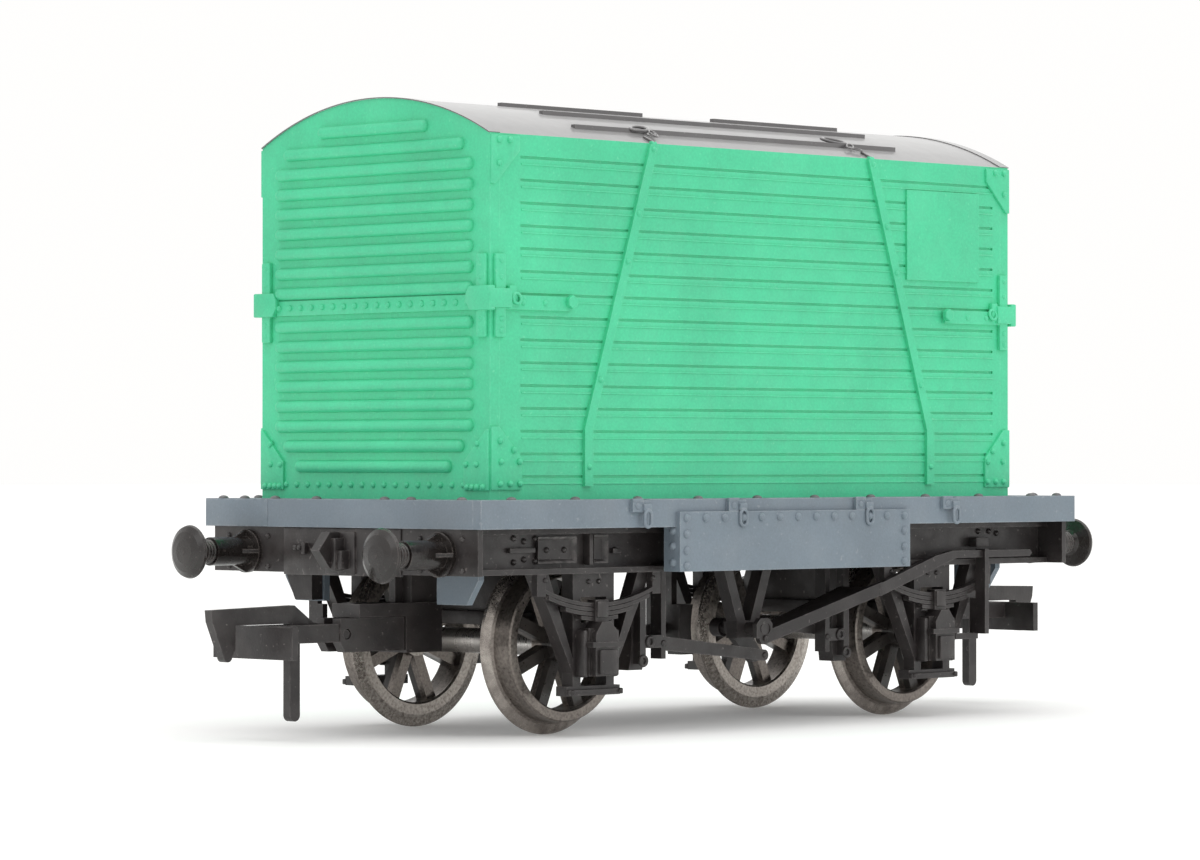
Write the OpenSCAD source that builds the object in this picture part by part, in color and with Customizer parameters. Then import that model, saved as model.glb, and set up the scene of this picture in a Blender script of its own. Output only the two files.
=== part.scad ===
// Model railway flatcar, 4 mm to the foot, carrying a lift-off furniture container.
// X runs along the wagon with the front end at +X, Y runs across it with the left side at +Y,
// and Z is up from the surface that the wheel flanges stand on.

/* [Deck] */
// Length of the deck over its end rails
deck_length = 70; // [62:0.5:84]
// Width of the deck over its side rails
deck_width = 32; // [29:0.5:38]
// Height of the deck's top above the floor
deck_height = 18.5; // [17.5:0.1:22]
// Depth of the kerb rails round the deck
kerb_depth = 2.2; // [2:0.1:2.7]
// Thickness of the kerb rails
kerb_thickness = 0.9; // [0.7:0.05:1.2]
// Thickness of the planked floor
floor_thickness = 1.1; // [0.8:0.05:1.4]
// Length of the chain box on each side
chain_box_length = 27.2; // [20:0.2:33]
// Depth of the chain box from top to bottom
chain_box_depth = 4.7; // [3.6:0.1:5]
// How far the chain box stands out from the side rail
chain_box_projection = 0.4; // [0.2:0.05:0.8]

/* [Underframe] */
// Width of the headstocks
headstock_width = 30.6; // [28:0.1:34]
// Depth of the headstocks and the solebars
frame_depth = 3.55; // [3:0.05:4.2]
// Thickness of the headstocks
headstock_thickness = 0.5; // [0.4:0.05:1]
// How far the headstocks lie in from the deck's ends
headstock_inset = 0.35; // [0.1:0.05:1]
// Distance over the webs of the two solebars
solebar_spacing = 25.2; // [24.6:0.1:26]
// Thickness of the solebar webs
web_thickness = 0.6; // [0.4:0.05:0.8]
// Width of the solebar flanges outside the web
flange_width = 1; // [0.6:0.05:1.2]
// Thickness of the solebar flanges
flange_thickness = 0.45; // [0.3:0.05:0.6]
// Thickness of the floor plate between the solebars
plate_thickness = 1; // [0.8:0.05:1.2]

/* [Wheels] */
// Distance between the axles
wheelbase = 40; // [33:0.1:44]
// Diameter over the wheel flanges
flange_diameter = 14.3; // [13.6:0.1:15.5]
// Diameter of the wheel treads
tread_diameter = 12.4; // [11.8:0.1:13]
// Distance between the backs of the two wheels on an axle
back_to_back = 14.4; // [14.2:0.05:14.6]
// Width of a wheel from its back to its outer face
wheel_width = 2.6; // [2.2:0.1:2.8]
// Thickness of the flange at its root
flange_root = 0.75; // [0.6:0.05:0.9]
// Inner diameter of the wheel rim
rim_bore = 10.4; // [9.8:0.1:10.8]
// Diameter of the wheel hub
hub_diameter = 2.9; // [2.6:0.1:3.4]
// Number of spokes
spoke_count = 8; // [6:1:10]
// Width of a spoke
spoke_width = 0.95; // [0.7:0.05:1.1]
// Diameter of the axle between the wheels
axle_diameter = 2; // [1.6:0.1:2.4]
// Diameter of the journal at each end of the axle
journal_diameter = 1; // [0.8:0.05:1.1]
// Length of the axle over its points
axle_length = 26; // [25.6:0.1:26.4]
// Radial gap between a journal and its bearing
bearing_gap = 0.06; // [0.03:0.01:0.09]

/* [Buffers and couplings] */
// Distance between the buffers at one end
buffer_spacing = 22.4; // [21:0.1:24]
// Height of the buffers above the floor
buffer_height = 14.35; // [14:0.05:15]
// Diameter of the buffer heads
buffer_head_diameter = 4.2; // [3.8:0.1:4.6]
// How far the buffer heads stand out from the headstock
buffer_reach = 6.7; // [6.2:0.1:7.2]
// Width of the coupling's bar
coupling_bar_width = 9.2; // [8:0.2:12]
// How far the coupling's bar lies from the deck's end
coupling_reach = 8.8; // [7.6:0.1:9.6]
// Thickness of the coupling's hook
hook_thickness = 0.8; // [0.6:0.02:1]

/* [Container] */
// Length of the container
container_length = 61; // [50:0.5:64]
// Width of the container
container_width = 26.5; // [22:0.5:28]
// Height of the container's side walls
wall_height = 28; // [24:0.1:34]
// Rise of the roof above the side walls
roof_rise = 3.3; // [2.6:0.1:4]
// Thickness of the container's walls
wall_thickness = 1; // [0.8:0.1:1.4]
// Thickness of the roof sheet
roof_thickness = 0.8; // [0.6:0.1:1]
// Number of planks in a side wall
plank_count = 16; // [12:1:20]
// Number of ribs above and below the middle strip of an end wall
rib_count = 8; // [6:1:9]
// Diameter of the ribs on the end walls
rib_diameter = 1; // [0.8:0.05:1.1]

/* [Hidden] */
SIDES = ["right", "left"];
ENDS = ["rear", "front"];
$fn = 48;

// Levels
kerb_bottom = deck_height - kerb_depth;
frame_bottom = kerb_bottom - frame_depth;
plate_bottom = kerb_bottom - plate_thickness;
axle_height = flange_diameter / 2;

// Deck and underframe
chain_box_shift = 0.4;
chain_box_top = kerb_bottom + 1.2;
cleat_places = [-18.2, -7.4, 7.6, 18.4];
headstock_face = deck_length / 2 - headstock_inset;
headstock_back = headstock_face - headstock_thickness;
web_outer = solebar_spacing / 2;
web_inner = web_outer - web_thickness;
clip_face = deck_length / 2 - 4.24;
clip_inner = 6.56;
buffer_base_radius = 1.72;

// Running gear
axle_x = wheelbase / 2;
guard_thickness = 1.2;
guard_outer = web_outer + 0.25;
guard_inner = guard_outer - guard_thickness;
box_face = guard_outer + 1.5;
spring_back = guard_outer + 0.05;
spring_face = guard_outer + 0.7;
spring_eye = frame_bottom - 1.3;
spring_sag = 1.3;
leaf_lengths = [12.6, 11.0, 7.4, 4.0];
leaf_thickness = 0.3;
leaf_drop = 0.36;
spring_seat = spring_eye - spring_sag - (len(leaf_lengths) - 1) * leaf_drop - 0.05;

// Brakes
shaft_height = 7.9;
shaft_radius = 0.5;
brake_plane = back_to_back / 2 + wheel_width / 2 + 0.3;
shoe_face = axle_x - flange_diameter / 2 - 0.35;
hanger_outer = brake_plane + 1.6;
rod_bar_x = axle_x - 10.05;
crank_plane = brake_plane - 0.2;
v_outer = hanger_outer + 0.1;
v_thickness = 1.2;
lever_root = guard_inner + 0.25;
lever_plane = spring_face + 0.25;
lever_thickness = 0.55;
lever_knee = axle_x - 8;
lever_slope = 0.31;
lever_web = 1.3;
guide_x = axle_x + 4.75;

// Couplings
hook_pivot_x = deck_length / 2 + 0.4;
hook_pivot_height = 8.1;
hook_pin_radius = 0.35;
hook_clearance = 0.1;
bar_outer = deck_length / 2 + coupling_reach;
bar_thickness = 0.6;
bar_bottom = 6.4;
bar_top = 8.9;
pocket_face = deck_length / 2 - 5.6;
pocket_length = 3.8;
loop_half = 1.4;
tail_half = 1;
tail_length = 2.8;
tail_bottom = 6.9;
tail_top = 9;

// Container, which lies a little off the deck's centre as a loose load
load_shift = [-0.5, 0.5, 0];
eave = deck_height + wall_height;
roof_radius = (pow(container_width / 2, 2) + pow(roof_rise, 2)) / (2 * roof_rise);
roof_centre = eave + roof_rise - roof_radius;
// Each roof strip's distance in from the eave, and where it starts and ends
roof_strips = [[2.05, -19.6, 18.1], [5.65, -19.6, 18.3], [9.45, -20.5, -4.6], [9.45, 3.8, 19]];
strap_thickness = 0.3;
plank_pitch = wall_height / plank_count;
rib_pitch = 1.58;
middle_height = deck_height + 15.1;

// Turns a shape drawn for the rear end to the front end.
module at_end(end) {
  rotate([0, 0, end == "rear" ? 0 : 180]) children();
}

// Turns a shape drawn for the right side to the left side.
module at_side(side) {
  rotate([0, 0, side == "right" ? 0 : 180]) children();
}

// Mirrors a shape drawn for the rear right corner to any of the four corners.
module at_corner(end, side) {
  mirror([end == "rear" ? 0 : 1, 0, 0]) mirror([0, side == "right" ? 0 : 1, 0]) children();
}

// Stands a flat outline of X and Z up in a wall that reaches from y_outer in to y_inner, both on the right.
module upright(y_outer, y_inner) {
  translate([0, -y_inner, 0]) rotate([90, 0, 0]) linear_extrude(height = y_outer - y_inner) children();
}

// Shifts the container's shapes to where it lies on the deck.
module on_load() {
  translate(load_shift) children();
}

// A block between two corners.
module block(low, high) {
  translate(low) cube(high - low);
}

// --- Deck ---

module deck_floor() {
  inner_x = deck_length / 2 - kerb_thickness;
  inner_y = deck_width / 2 - kerb_thickness;
  color("slategray")
    block([-inner_x, -inner_y, deck_height - floor_thickness], [inner_x, inner_y, deck_height]);
}

module side_rail(side) {
  color("slategray") at_side(side)
    block([-deck_length / 2, -deck_width / 2, kerb_bottom],
          [deck_length / 2, kerb_thickness - deck_width / 2, deck_height]);
}

module end_rail(end) {
  half = deck_width / 2 - kerb_thickness;
  color("slategray") at_end(end)
    block([-deck_length / 2, -half, kerb_bottom], [kerb_thickness - deck_length / 2, half, deck_height]);
}

// A shallow box with an open back that hangs on the side rail's lower half.
module chain_box(side) {
  top = chain_box_top;
  bottom = top - chain_box_depth;
  face = deck_width / 2 + chain_box_projection;
  back = deck_width / 2 - 1.35;
  wall = 0.5;
  color("slategray") at_side(side) translate([-chain_box_shift, 0, 0]) difference() {
    union() {
      block([-chain_box_length / 2, -face, bottom], [chain_box_length / 2, -deck_width / 2, top]);
      block([-chain_box_length / 2, -deck_width / 2, bottom], [chain_box_length / 2, -back, kerb_bottom]);
    }
    block([wall - chain_box_length / 2, wall - deck_width / 2, bottom + wall],
          [chain_box_length / 2 - wall, 0, kerb_bottom - wall]);
  }
}

// Four eye plates along each side rail, each a bolted pad with a pin and a hanging eye.
module lashing_cleats() {
  rail = deck_width / 2;
  foot = chain_box_top + 0.05;
  color("slategray") for (side = SIDES) at_side(side)
    for (x = cleat_places) translate([x, 0, 0]) {
      block([-0.95, -rail - 0.35, deck_height - 1.0], [0.15, -rail, deck_height - 0.1]);
      difference() {
        block([0.15, -rail - 0.38, foot], [0.95, -rail, deck_height - 0.1]);
        block([0.4, -rail - 1, foot + 0.2], [0.7, -rail + 1, deck_height - 0.4]);
      }
    }
}

// --- Underframe ---

module ballast_weight() {
  color("dimgray")
    block([-27, -11, kerb_bottom], [27, 11, deck_height - floor_thickness]);
}

// The floor plate with its long and cross beams, and a tapered block before one clip at each end.
module underfloor() {
  beam_bottom = frame_bottom + 0.4;
  cross_beam = axle_x - 11.4;
  color("#2b2829") union() {
    block([-headstock_back, -web_inner, plate_bottom], [headstock_back, web_inner, kerb_bottom]);
    for (y = [-3.6, 3.6])
      block([-headstock_back, y - 0.4, beam_bottom], [headstock_back, y + 0.4, plate_bottom + 0.1]);
    for (x = [-cross_beam, cross_beam])
      block([x - 0.4, -web_inner, beam_bottom], [x + 0.4, web_inner, plate_bottom + 0.1]);
    for (end = ENDS) at_end(end)
      translate([-clip_face - 1.15, clip_inner + 0.15, 10.5]) rotate([90, 0, 90])
        linear_extrude(height = 1.1)
          polygon([[0, 0], [2, 0], [3.15, 2.2], [3.15, plate_bottom - 10.4], [0, plate_bottom - 10.4]]);
  }
}

module solebar(side) {
  color("#3a3638") at_side(side) union() {
    block([-headstock_back, -web_outer, frame_bottom], [headstock_back, -web_inner, kerb_bottom]);
    for (z = [frame_bottom, kerb_bottom - flange_thickness])
      block([-headstock_back, -web_outer - flange_width, z],
            [headstock_back, -web_outer + 0.1, z + flange_thickness]);
  }
}

module headstock(end) {
  half = headstock_width / 2;
  color("#3a3638") at_end(end)
    block([-headstock_face, -half, frame_bottom], [-headstock_back, half, kerb_bottom]);
}

// Four tapered tongues that hold the deck moulding on the underframe.
module body_clips() {
  outer = 11.2;
  depth = 4.9;
  thickness = 0.6;
  color("slategray")
    for (end = ENDS, side = SIDES) at_corner(end, side)
      translate([-clip_face, 0, 0]) rotate([90, 0, 90]) linear_extrude(height = thickness)
        polygon([[-outer, plate_bottom], [-outer, plate_bottom - depth + 1.9],
                 [-outer + 1.3, plate_bottom - depth], [-clip_inner, plate_bottom - depth],
                 [-clip_inner, plate_bottom]]);
}

// The blunt hook of each headstock, moulded a little to the left of its middle.
module draw_hooks() {
  reach = 2.4;
  bevel = 1.1;
  half = 1.4;
  color("#3a3638") for (end = ENDS) at_end(end) upright(0, -1)
    translate([-headstock_face, buffer_height + 0.2])
      polygon([[0, half], [bevel - reach, half], [-reach, 0], [bevel - reach, -half], [0, -half]]);
}

// --- Buffers ---

// Places a shape drawn along +Z at the headstock's face, pointing outwards along the wagon.
module at_buffer(end, side) {
  at_corner(end, side)
    translate([-headstock_face, -buffer_spacing / 2, buffer_height]) rotate([0, -90, 0]) children();
}

module buffer_housing(end, side) {
  base = buffer_base_radius;
  length = 4;
  color("#3a3638") at_buffer(end, side) difference() {
    union() {
      cylinder(r = base, h = 0.35);
      translate([0, 0, 0.35]) cylinder(r = 1.12, h = length - 0.35);
      for (turn = [0, 90]) rotate([0, 0, turn])
        rotate([90, 0, 0]) translate([0, 0, -0.15]) linear_extrude(height = 0.3)
          polygon([[-base, 0.3], [base, 0.3], [0.9, 2], [-0.9, 2]]);
    }
    translate([0, 0, 0.8]) cylinder(r = 0.8, h = length);
  }
}

// The head is a domed disc with a turned back, on a shank that fits in the housing's bore.
module buffer_head(end, side) {
  head = buffer_head_diameter / 2;
  color("#4a4647") at_buffer(end, side) rotate_extrude()
    polygon([[0, 0.8], [0.8, 0.8], [0.8, 3.9], [0.66, 3.9], [0.66, buffer_reach - 1.6],
             [1.1, buffer_reach - 1.25], [head - 0.12, buffer_reach - 0.85], [head, buffer_reach - 0.7],
             [head - 0.08, buffer_reach - 0.5], [head - 0.5, buffer_reach - 0.24],
             [head - 1.2, buffer_reach - 0.06], [0, buffer_reach]]);
}

// --- Couplings ---

// The socket under the floor that holds the loop's tail, with a lip over the loop and a riser to the plate.
module coupling_pocket(end) {
  half = loop_half + 0.2;
  bottom = 6.5;
  top = 10.4;
  fit = 0.05;
  color("#2b2829") at_end(end) difference() {
    union() {
      block([-pocket_face, -half, bottom], [pocket_length - pocket_face, half, top]);
      block([-pocket_face - 4.9, -half, tail_top + 0.35], [-pocket_face + 0.1, half, top]);
      block([-pocket_face + 0.8, -1.3, top - 0.1], [pocket_length - pocket_face, 1.3, plate_bottom]);
      block([-pocket_face, -0.3, top - 0.1], [-pocket_face + 0.9, 0.3, top + 2.5]);
    }
    block([-pocket_face - 1, -tail_half - fit, tail_bottom - fit],
          [tail_length + fit - pocket_face, tail_half + fit, tail_top + fit]);
  }
}

// The loop: a tail that plugs into the pocket, a forked body for the hook's pin, two arms and the front bar.
module coupling_loop(end) {
  body_front = hook_pivot_x + 0.7;
  slot_back = hook_pivot_x - 0.8;
  slot_half = hook_thickness / 2 + hook_clearance;
  arm_bottom = 7.5;
  half = coupling_bar_width / 2;
  color("#3a3638") at_end(end) difference() {
    union() {
      upright(loop_half, -loop_half)
        polygon([[-0.05 - pocket_face, tail_bottom - 0.2], [0.5 - body_front, tail_bottom - 0.2],
                 [-body_front, arm_bottom], [-body_front, tail_top + 0.3],
                 [-0.05 - pocket_face, tail_top + 0.3]]);
      block([-pocket_face - 0.1, -tail_half, tail_bottom], [tail_length - pocket_face, tail_half, tail_top]);
      block([-bar_outer, -half, bar_bottom], [bar_thickness - bar_outer, half, bar_top]);
      for (y = [-1, 1]) {
        mid = y * (slot_half + 0.4);
        block([-bar_outer + 0.1, mid - 0.4, arm_bottom], [-body_front + 0.1, mid + 0.4, bar_top]);
      }
    }
    block([-body_front - 1, -slot_half, tail_bottom - 1], [-slot_back, slot_half, tail_top + 1]);
    translate([-hook_pivot_x, 0, hook_pivot_height]) rotate([90, 0, 0])
      cylinder(r = hook_pin_radius + bearing_gap, h = 4, center = true);
  }
}

// The hook hangs on its own pin, lies just over the front bar and has a weighted tail below.
module coupling_hook(end) {
  x = hook_pivot_x;
  z = hook_pivot_height;
  tip = bar_outer + 4.4;
  arm = bar_top + 0.1;
  tail = x + 4.45;
  tail_foot = 2;
  half = hook_thickness / 2;
  color("#3a3638") at_end(end) union() {
    upright(half, -half) {
      polygon([[-x, z - 0.6], [-x, z + 0.6], [-x - 2.6, z + 0.95], [-x - 4.5, z + 2.3], [-tip, z + 2.1],
               [0.1 - tip, z + 1.2], [1.25 - tip, z - 1.5], [2.05 - tip, z - 1.5], [2.4 - tip, z - 0.9],
               [2.4 - tip, arm], [-tail - 0.5, arm], [-tail - 0.5, tail_foot], [0.5 - tail, tail_foot],
               [0.5 - tail, z - 0.6]]);
      translate([-x, z]) circle(r = 0.6);
      translate([1.65 - tip, z - 1.45]) circle(r = 0.42);
      translate([-tail, tail_foot]) circle(r = 0.5);
    }
    translate([-x, 0, z]) rotate([90, 0, 0])
      cylinder(r = hook_pin_radius, h = 2 * (loop_half - 0.1), center = true);
  }
}

// --- Wheels ---

module axle(end) {
  journal = journal_diameter / 2;
  body = axle_diameter / 2;
  half = axle_length / 2;
  shoulder = back_to_back / 2 + wheel_width + 0.3;
  color("silver") at_end(end) translate([-axle_x, 0, axle_height]) rotate([-90, 0, 0]) rotate_extrude()
    polygon([[0, -half], [0.1, -half], [journal, -half + 0.7], [journal, -shoulder - 0.5],
             [body, -shoulder], [body, shoulder], [journal, shoulder + 0.5], [journal, half - 0.7],
             [0.1, half], [0, half]]);
}

// Profile of the rim in radius and distance from the wheel's back.
module rim_profile() {
  bore = rim_bore / 2;
  tread = tread_diameter / 2;
  flange = flange_diameter / 2;
  polygon([[bore, 0.15], [bore + 0.15, 0], [tread, 0], [flange - 0.12, 0.22], [flange, 0.36],
           [flange - 0.12, 0.5], [tread + 0.15, flange_root], [tread, flange_root + 0.15],
           [tread - 0.1, wheel_width - 0.12], [tread - 0.22, wheel_width], [bore + 0.12, wheel_width],
           [bore, wheel_width - 0.12]]);
}

module wheel(end, side) {
  bore = rim_bore / 2;
  hub = hub_diameter / 2;
  body = axle_diameter / 2;
  color("#77706a") at_corner(end, side)
    translate([-axle_x, -back_to_back / 2, axle_height]) rotate([90, 0, 0]) difference() {
      union() {
        rotate_extrude() rim_profile();
        translate([0, 0, 0.2]) cylinder(r = hub, h = wheel_width - 0.1);
        for (k = [0 : spoke_count - 1]) rotate([0, 0, (k + 0.5) * 360 / spoke_count])
          translate([hub - 0.3, -spoke_width / 2, 0.7]) cube([bore - hub + 0.5, spoke_width, 1.3]);
      }
      translate([0, 0, -1]) cylinder(r = body, h = wheel_width + 3);
    }
}

// --- Axle guards, boxes and springs ---

// A W-shaped guard with two upright legs, two raking legs and a tie bar under the box.
module axle_guard(end, side) {
  top = frame_bottom;
  leg = 0.85;
  foot = 3.6;
  color("#3a3638") at_corner(end, side) translate([-axle_x, 0, 0]) difference() {
    upright(guard_outer, guard_inner) difference() {
      union() {
        translate([-2.25, foot]) square([4.5, top - foot]);
        polygon([[-6.3, top], [-4.9, top], [-1.2, foot], [-2.25, foot], [-2.25, foot + 1.4]]);
        polygon([[6.3, top], [4.9, top], [1.2, foot], [2.25, foot], [2.25, foot + 1.4]]);
        translate([-2.9, foot - 0.35]) square([5.8, 0.75]);
      }
      translate([-2.25 + leg, axle_height + 1.75]) square([4.5 - 2 * leg, top - axle_height - 3.6]);
      translate([-2.25 + leg, foot + 0.4]) square([4.5 - 2 * leg, 1.1]);
    }
    translate([0, -guard_outer - 1, axle_height]) rotate([-90, 0, 0])
      cylinder(r = journal_diameter / 2 + bearing_gap, h = guard_thickness + 2);
  }
}

// The box has a sloped top, a lid ridge and a blind bearing for the journal.
module axlebox(end, side) {
  low = axle_height - 2.35;
  high = axle_height + 1.35;
  color("#3a3638") at_corner(end, side) translate([-axle_x, 0, 0]) difference() {
    union() {
      block([-1.5, -box_face + 0.5, low], [1.5, -guard_outer, high]);
      block([-1.2, -box_face, low], [1.2, -box_face + 0.6, axle_height - 0.1]);
      block([-1.65, -box_face - 0.15, axle_height - 0.1], [1.65, -guard_outer, axle_height + 0.3]);
      upright(box_face, guard_outer)
        polygon([[-1.2, axle_height + 0.3], [1.2, axle_height + 0.3], [1.2, high - 0.4], [0.5, spring_seat],
                 [-0.5, spring_seat], [-1.2, high - 0.4]]);
    }
    translate([0, -guard_outer + 1, axle_height]) rotate([90, 0, 0])
      cylinder(r = journal_diameter / 2 + bearing_gap, h = 1 + axle_length / 2 - guard_outer + 0.15);
  }
}

// One leaf as a thin arc between two heights, drawn in X and Z.
module leaf(length, sag, eye_height) {
  radius = (pow(length / 2, 2) + pow(sag, 2)) / (2 * sag);
  translate([0, eye_height - sag + radius]) intersection() {
    difference() {
      circle(r = radius, $fn = 96);
      circle(r = radius - leaf_thickness, $fn = 96);
    }
    translate([-length / 2, -radius - 1]) square([length, 4]);
  }
}

// Four leaves held by a buckle, hung from the solebar by a shackle and a bracket at each end.
module leaf_spring(end, side) {
  color("#3a3638") at_corner(end, side) translate([-axle_x, 0, 0]) union() {
    upright(spring_face, spring_back) {
      for (k = [0 : len(leaf_lengths) - 1]) {
        sag = spring_sag * pow(leaf_lengths[k] / leaf_lengths[0], 2);
        leaf(leaf_lengths[k], sag, spring_eye - spring_sag + sag - k * leaf_drop);
      }
      for (s = [-1, 1])
        translate([s * leaf_lengths[0] / 2 - 0.45, spring_eye - 0.4])
          square([0.9, frame_bottom - spring_eye + 0.4]);
    }
    upright(spring_face + 0.25, spring_back) translate([-0.7, spring_seat])
      square([1.4, spring_eye - spring_sag - spring_seat + 0.55]);
  }
}

// --- Brakes ---

// A V-shaped hanger on each side, from the floor plate down to the stub of the cross shaft.
module v_hangers() {
  foot = shaft_height + 0.6;
  spread = 0.36 * (plate_bottom - foot);
  color("#2b2829") for (side = SIDES) at_side(side) difference() {
    upright(v_outer, v_outer - v_thickness) {
      for (s = [-1, 1])
        polygon([[s * (1.3 + spread), plate_bottom], [s * (0.3 + spread), plate_bottom], [s * 0.3, foot],
                 [s * 0.3, foot - 0.2], [s * 1.3, foot - 0.2], [s * 1.3, foot]]);
      translate([-1.3, shaft_height - 0.8]) square([2.6, 1.4]);
    }
    shaft_hole();
  }
}

// The cross shaft's place, cut out of what it passes through.
module shaft_hole() {
  translate([0, 0, shaft_height]) rotate([90, 0, 0])
    cylinder(r = shaft_radius, h = 2 * deck_width, center = true);
}

// Outline of one brake shoe of the rear wheel, facing the flange.
module shoe_outline() {
  difference() {
    polygon([[-shoe_face - 0.6, axle_height + 2], [-shoe_face + 1.3, axle_height + 2],
             [-shoe_face + 1.5, axle_height - 0.2], [-shoe_face + 1.2, axle_height - 2.3],
             [-shoe_face - 1.2, axle_height - 2.3]]);
    translate([-axle_x, axle_height]) circle(r = axle_x - shoe_face, $fn = 96);
  }
}

// A shoe at each wheel, on a flat hanger that comes down from the floor plate outside the wheel.
module brake_shoes() {
  hanger = 0.15 - shoe_face;
  color("#2b2829") for (end = ENDS, side = SIDES) at_corner(end, side) {
    upright(brake_plane + 0.8, brake_plane - 0.8) shoe_outline();
    block([hanger, -hanger_outer, axle_height - 1.8], [hanger + 0.65, -brake_plane - 0.75, plate_bottom]);
    block([hanger, -hanger_outer, axle_height - 0.55], [-rod_bar_x, 0.8 - hanger_outer, axle_height + 0.45]);
  }
}

// Each side's upright bars, the rods to the shaft's crank, the crank and its pin.
module push_rods() {
  bar = 0.5;
  bar_foot = 5.7;
  pin = [2.1, 5.65];
  rod = 0.45;
  crank = crank_plane + 0.6;
  color("#2b2829") for (side = SIDES) at_side(side) difference() {
    union() {
      for (x = [-rod_bar_x, rod_bar_x - bar])
        block([x, -hanger_outer, bar_foot], [x + bar, 1.2 - hanger_outer, plate_bottom]);
      upright(hanger_outer, hanger_outer - bar) {
        polygon([[0.2 - rod_bar_x, axle_height + 0.35], [0.2 - rod_bar_x, axle_height - 0.75],
                 [pin[0], pin[1] - rod], [pin[0], pin[1] + rod]]);
        translate(pin) circle(r = rod);
      }
      upright(crank, crank_plane) {
        polygon([[rod_bar_x - 0.2, axle_height + 0.75], [rod_bar_x - 0.2, axle_height - 0.05],
                 [0, shaft_height + 0.2], [0, shaft_height + 1]]);
        polygon([[-0.9, shaft_height + 0.5], [-0.3, shaft_height + 1.2], [0.8, shaft_height + 0.8],
                 [pin[0] + 0.9, pin[1] + 0.2], [pin[0] + 0.7, pin[1] - 0.5], [pin[0] - 0.2, pin[1] - 0.6],
                 [-0.6, shaft_height - 0.6]]);
      }
      translate([pin[0], -hanger_outer, pin[1]]) rotate([-90, 0, 0])
        cylinder(r = 0.3, h = hanger_outer - crank_plane);
    }
    shaft_hole();
  }
}

// The stub of the cross shaft on each side, with a collar at its inner end.
module brake_shafts() {
  inner = crank_plane - 1.75;
  color("#2b2829") for (side = SIDES) at_side(side) translate([0, -inner, shaft_height]) rotate([90, 0, 0]) {
    cylinder(r = shaft_radius, h = lever_root + lever_thickness - inner);
    cylinder(r = 1.5 * shaft_radius, h = 1);
  }
}

// A hand lever that leans outwards as it rises from the shaft, with a web behind it, and its upright guide.
module brake_lever(side) {
  outer = lever_plane + lever_thickness;
  lean = atan((lever_plane - lever_root) / lever_knee);
  half = 0.52;
  base = 7.15;
  knee = base + lever_slope * lever_knee;
  web_start = 1.2;
  web_end = lever_knee - 1;
  web_face = lever_root - lever_web;
  grip = frame_bottom + 0.9;
  guide_foot = 6.9;
  color("#3a3638") at_side(side) difference() {
    union() {
      translate([0, -lever_root, 0]) rotate([0, 0, -lean]) upright(lever_thickness, 0) {
        translate([0, base]) circle(r = half);
        polygon([[0, base - half], [lever_knee + 0.3, knee - half + 0.1],
                 [lever_knee + 0.3, knee + half + 0.1], [0, base + half]]);
        polygon([[-0.8, base], [0.8, base], [0.8, shaft_height + 0.4], [0.4, shaft_height + 0.85],
                 [-0.4, shaft_height + 0.85], [-0.8, shaft_height + 0.4]]);
      }
      intersection() {
        upright(outer, web_face) polygon([[web_start, base + lever_slope * web_start - half],
                                          [web_end, base + lever_slope * web_end - half],
                                          [web_end, base + lever_slope * web_end + half],
                                          [web_start, base + lever_slope * web_start + half]]);
        linear_extrude(height = deck_height)
          polygon([[0, -web_face], [lever_knee, -web_face], [lever_knee, -lever_plane - 0.1],
                   [0, -lever_root - 0.1]]);
      }
      upright(outer, lever_plane)
        polygon([[lever_knee - 0.2, knee - half - 0.05], [axle_x - 0.6, grip - 0.95],
                 [axle_x + 1.5, grip - 0.32], [axle_x + 11, grip - 0.28], [axle_x + 11.3, grip],
                 [axle_x + 11, grip + 0.28], [axle_x + 1, grip + 0.3], [axle_x - 1.2, grip - 0.1],
                 [lever_knee - 0.2, knee + half - 0.05]]);
      block([guide_x, -outer - 0.3, guide_foot], [guide_x + 0.5, -web_outer - flange_width, grip + 0.4]);
      block([guide_x, -web_outer - flange_width - 0.1, guide_foot],
            [guide_x + 0.5, -spring_back - 0.05, guide_foot + 3]);
      block([guide_x - 2.4, 0.1 - spring_face, guide_foot - 0.45],
            [guide_x + 0.5, 0.5 - spring_face, guide_foot + 0.05]);
    }
    shaft_hole();
  }
}

// --- Container ---

// One raking strap with its upright foot, drawn in X and Z on the right side.
module strap_outline(s) {
  top = deck_height + wall_height - 0.1;
  knee = deck_height + 5.5;
  foot = deck_height + 1;
  polygon([[s * 12.4, top], [s * 13.3, top], [s * 20.6, knee], [s * 20.6, foot], [s * 19.7, foot],
           [s * 19.7, knee]]);
}

module container_side(side) {
  half = container_length / 2 - wall_thickness;
  face = container_width / 2;
  groove = 0.22;
  band = 7.5;
  color("mediumseagreen") on_load() at_side(side) union() {
    difference() {
      block([-half, -face, deck_height], [half, -face + wall_thickness, eave]);
      for (k = [1 : plank_count - 1])
        block([-half + 2.2, -face - 1, deck_height + k * plank_pitch - groove / 2],
              [half - 1, -face + 0.15, deck_height + k * plank_pitch + groove / 2]);
    }
    upright(face + strap_thickness, face - 0.2) {
      for (s = [-1, 1]) strap_outline(s);
      for (x = [-half, half - band]) translate([x, middle_height - 0.55]) square([band, 1.1]);
    }
    upright(face + 0.2, face - 0.2) translate([17.3, deck_height + 18.1]) square([9.2, 7.5]);
  }
}

// Outline of an end wall with its arched top, drawn in Y and Z.
module end_outline() {
  intersection() {
    translate([-container_width / 2, deck_height]) square([container_width, wall_height + roof_rise]);
    translate([0, roof_centre]) circle(r = roof_radius, $fn = 144);
  }
}

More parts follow.
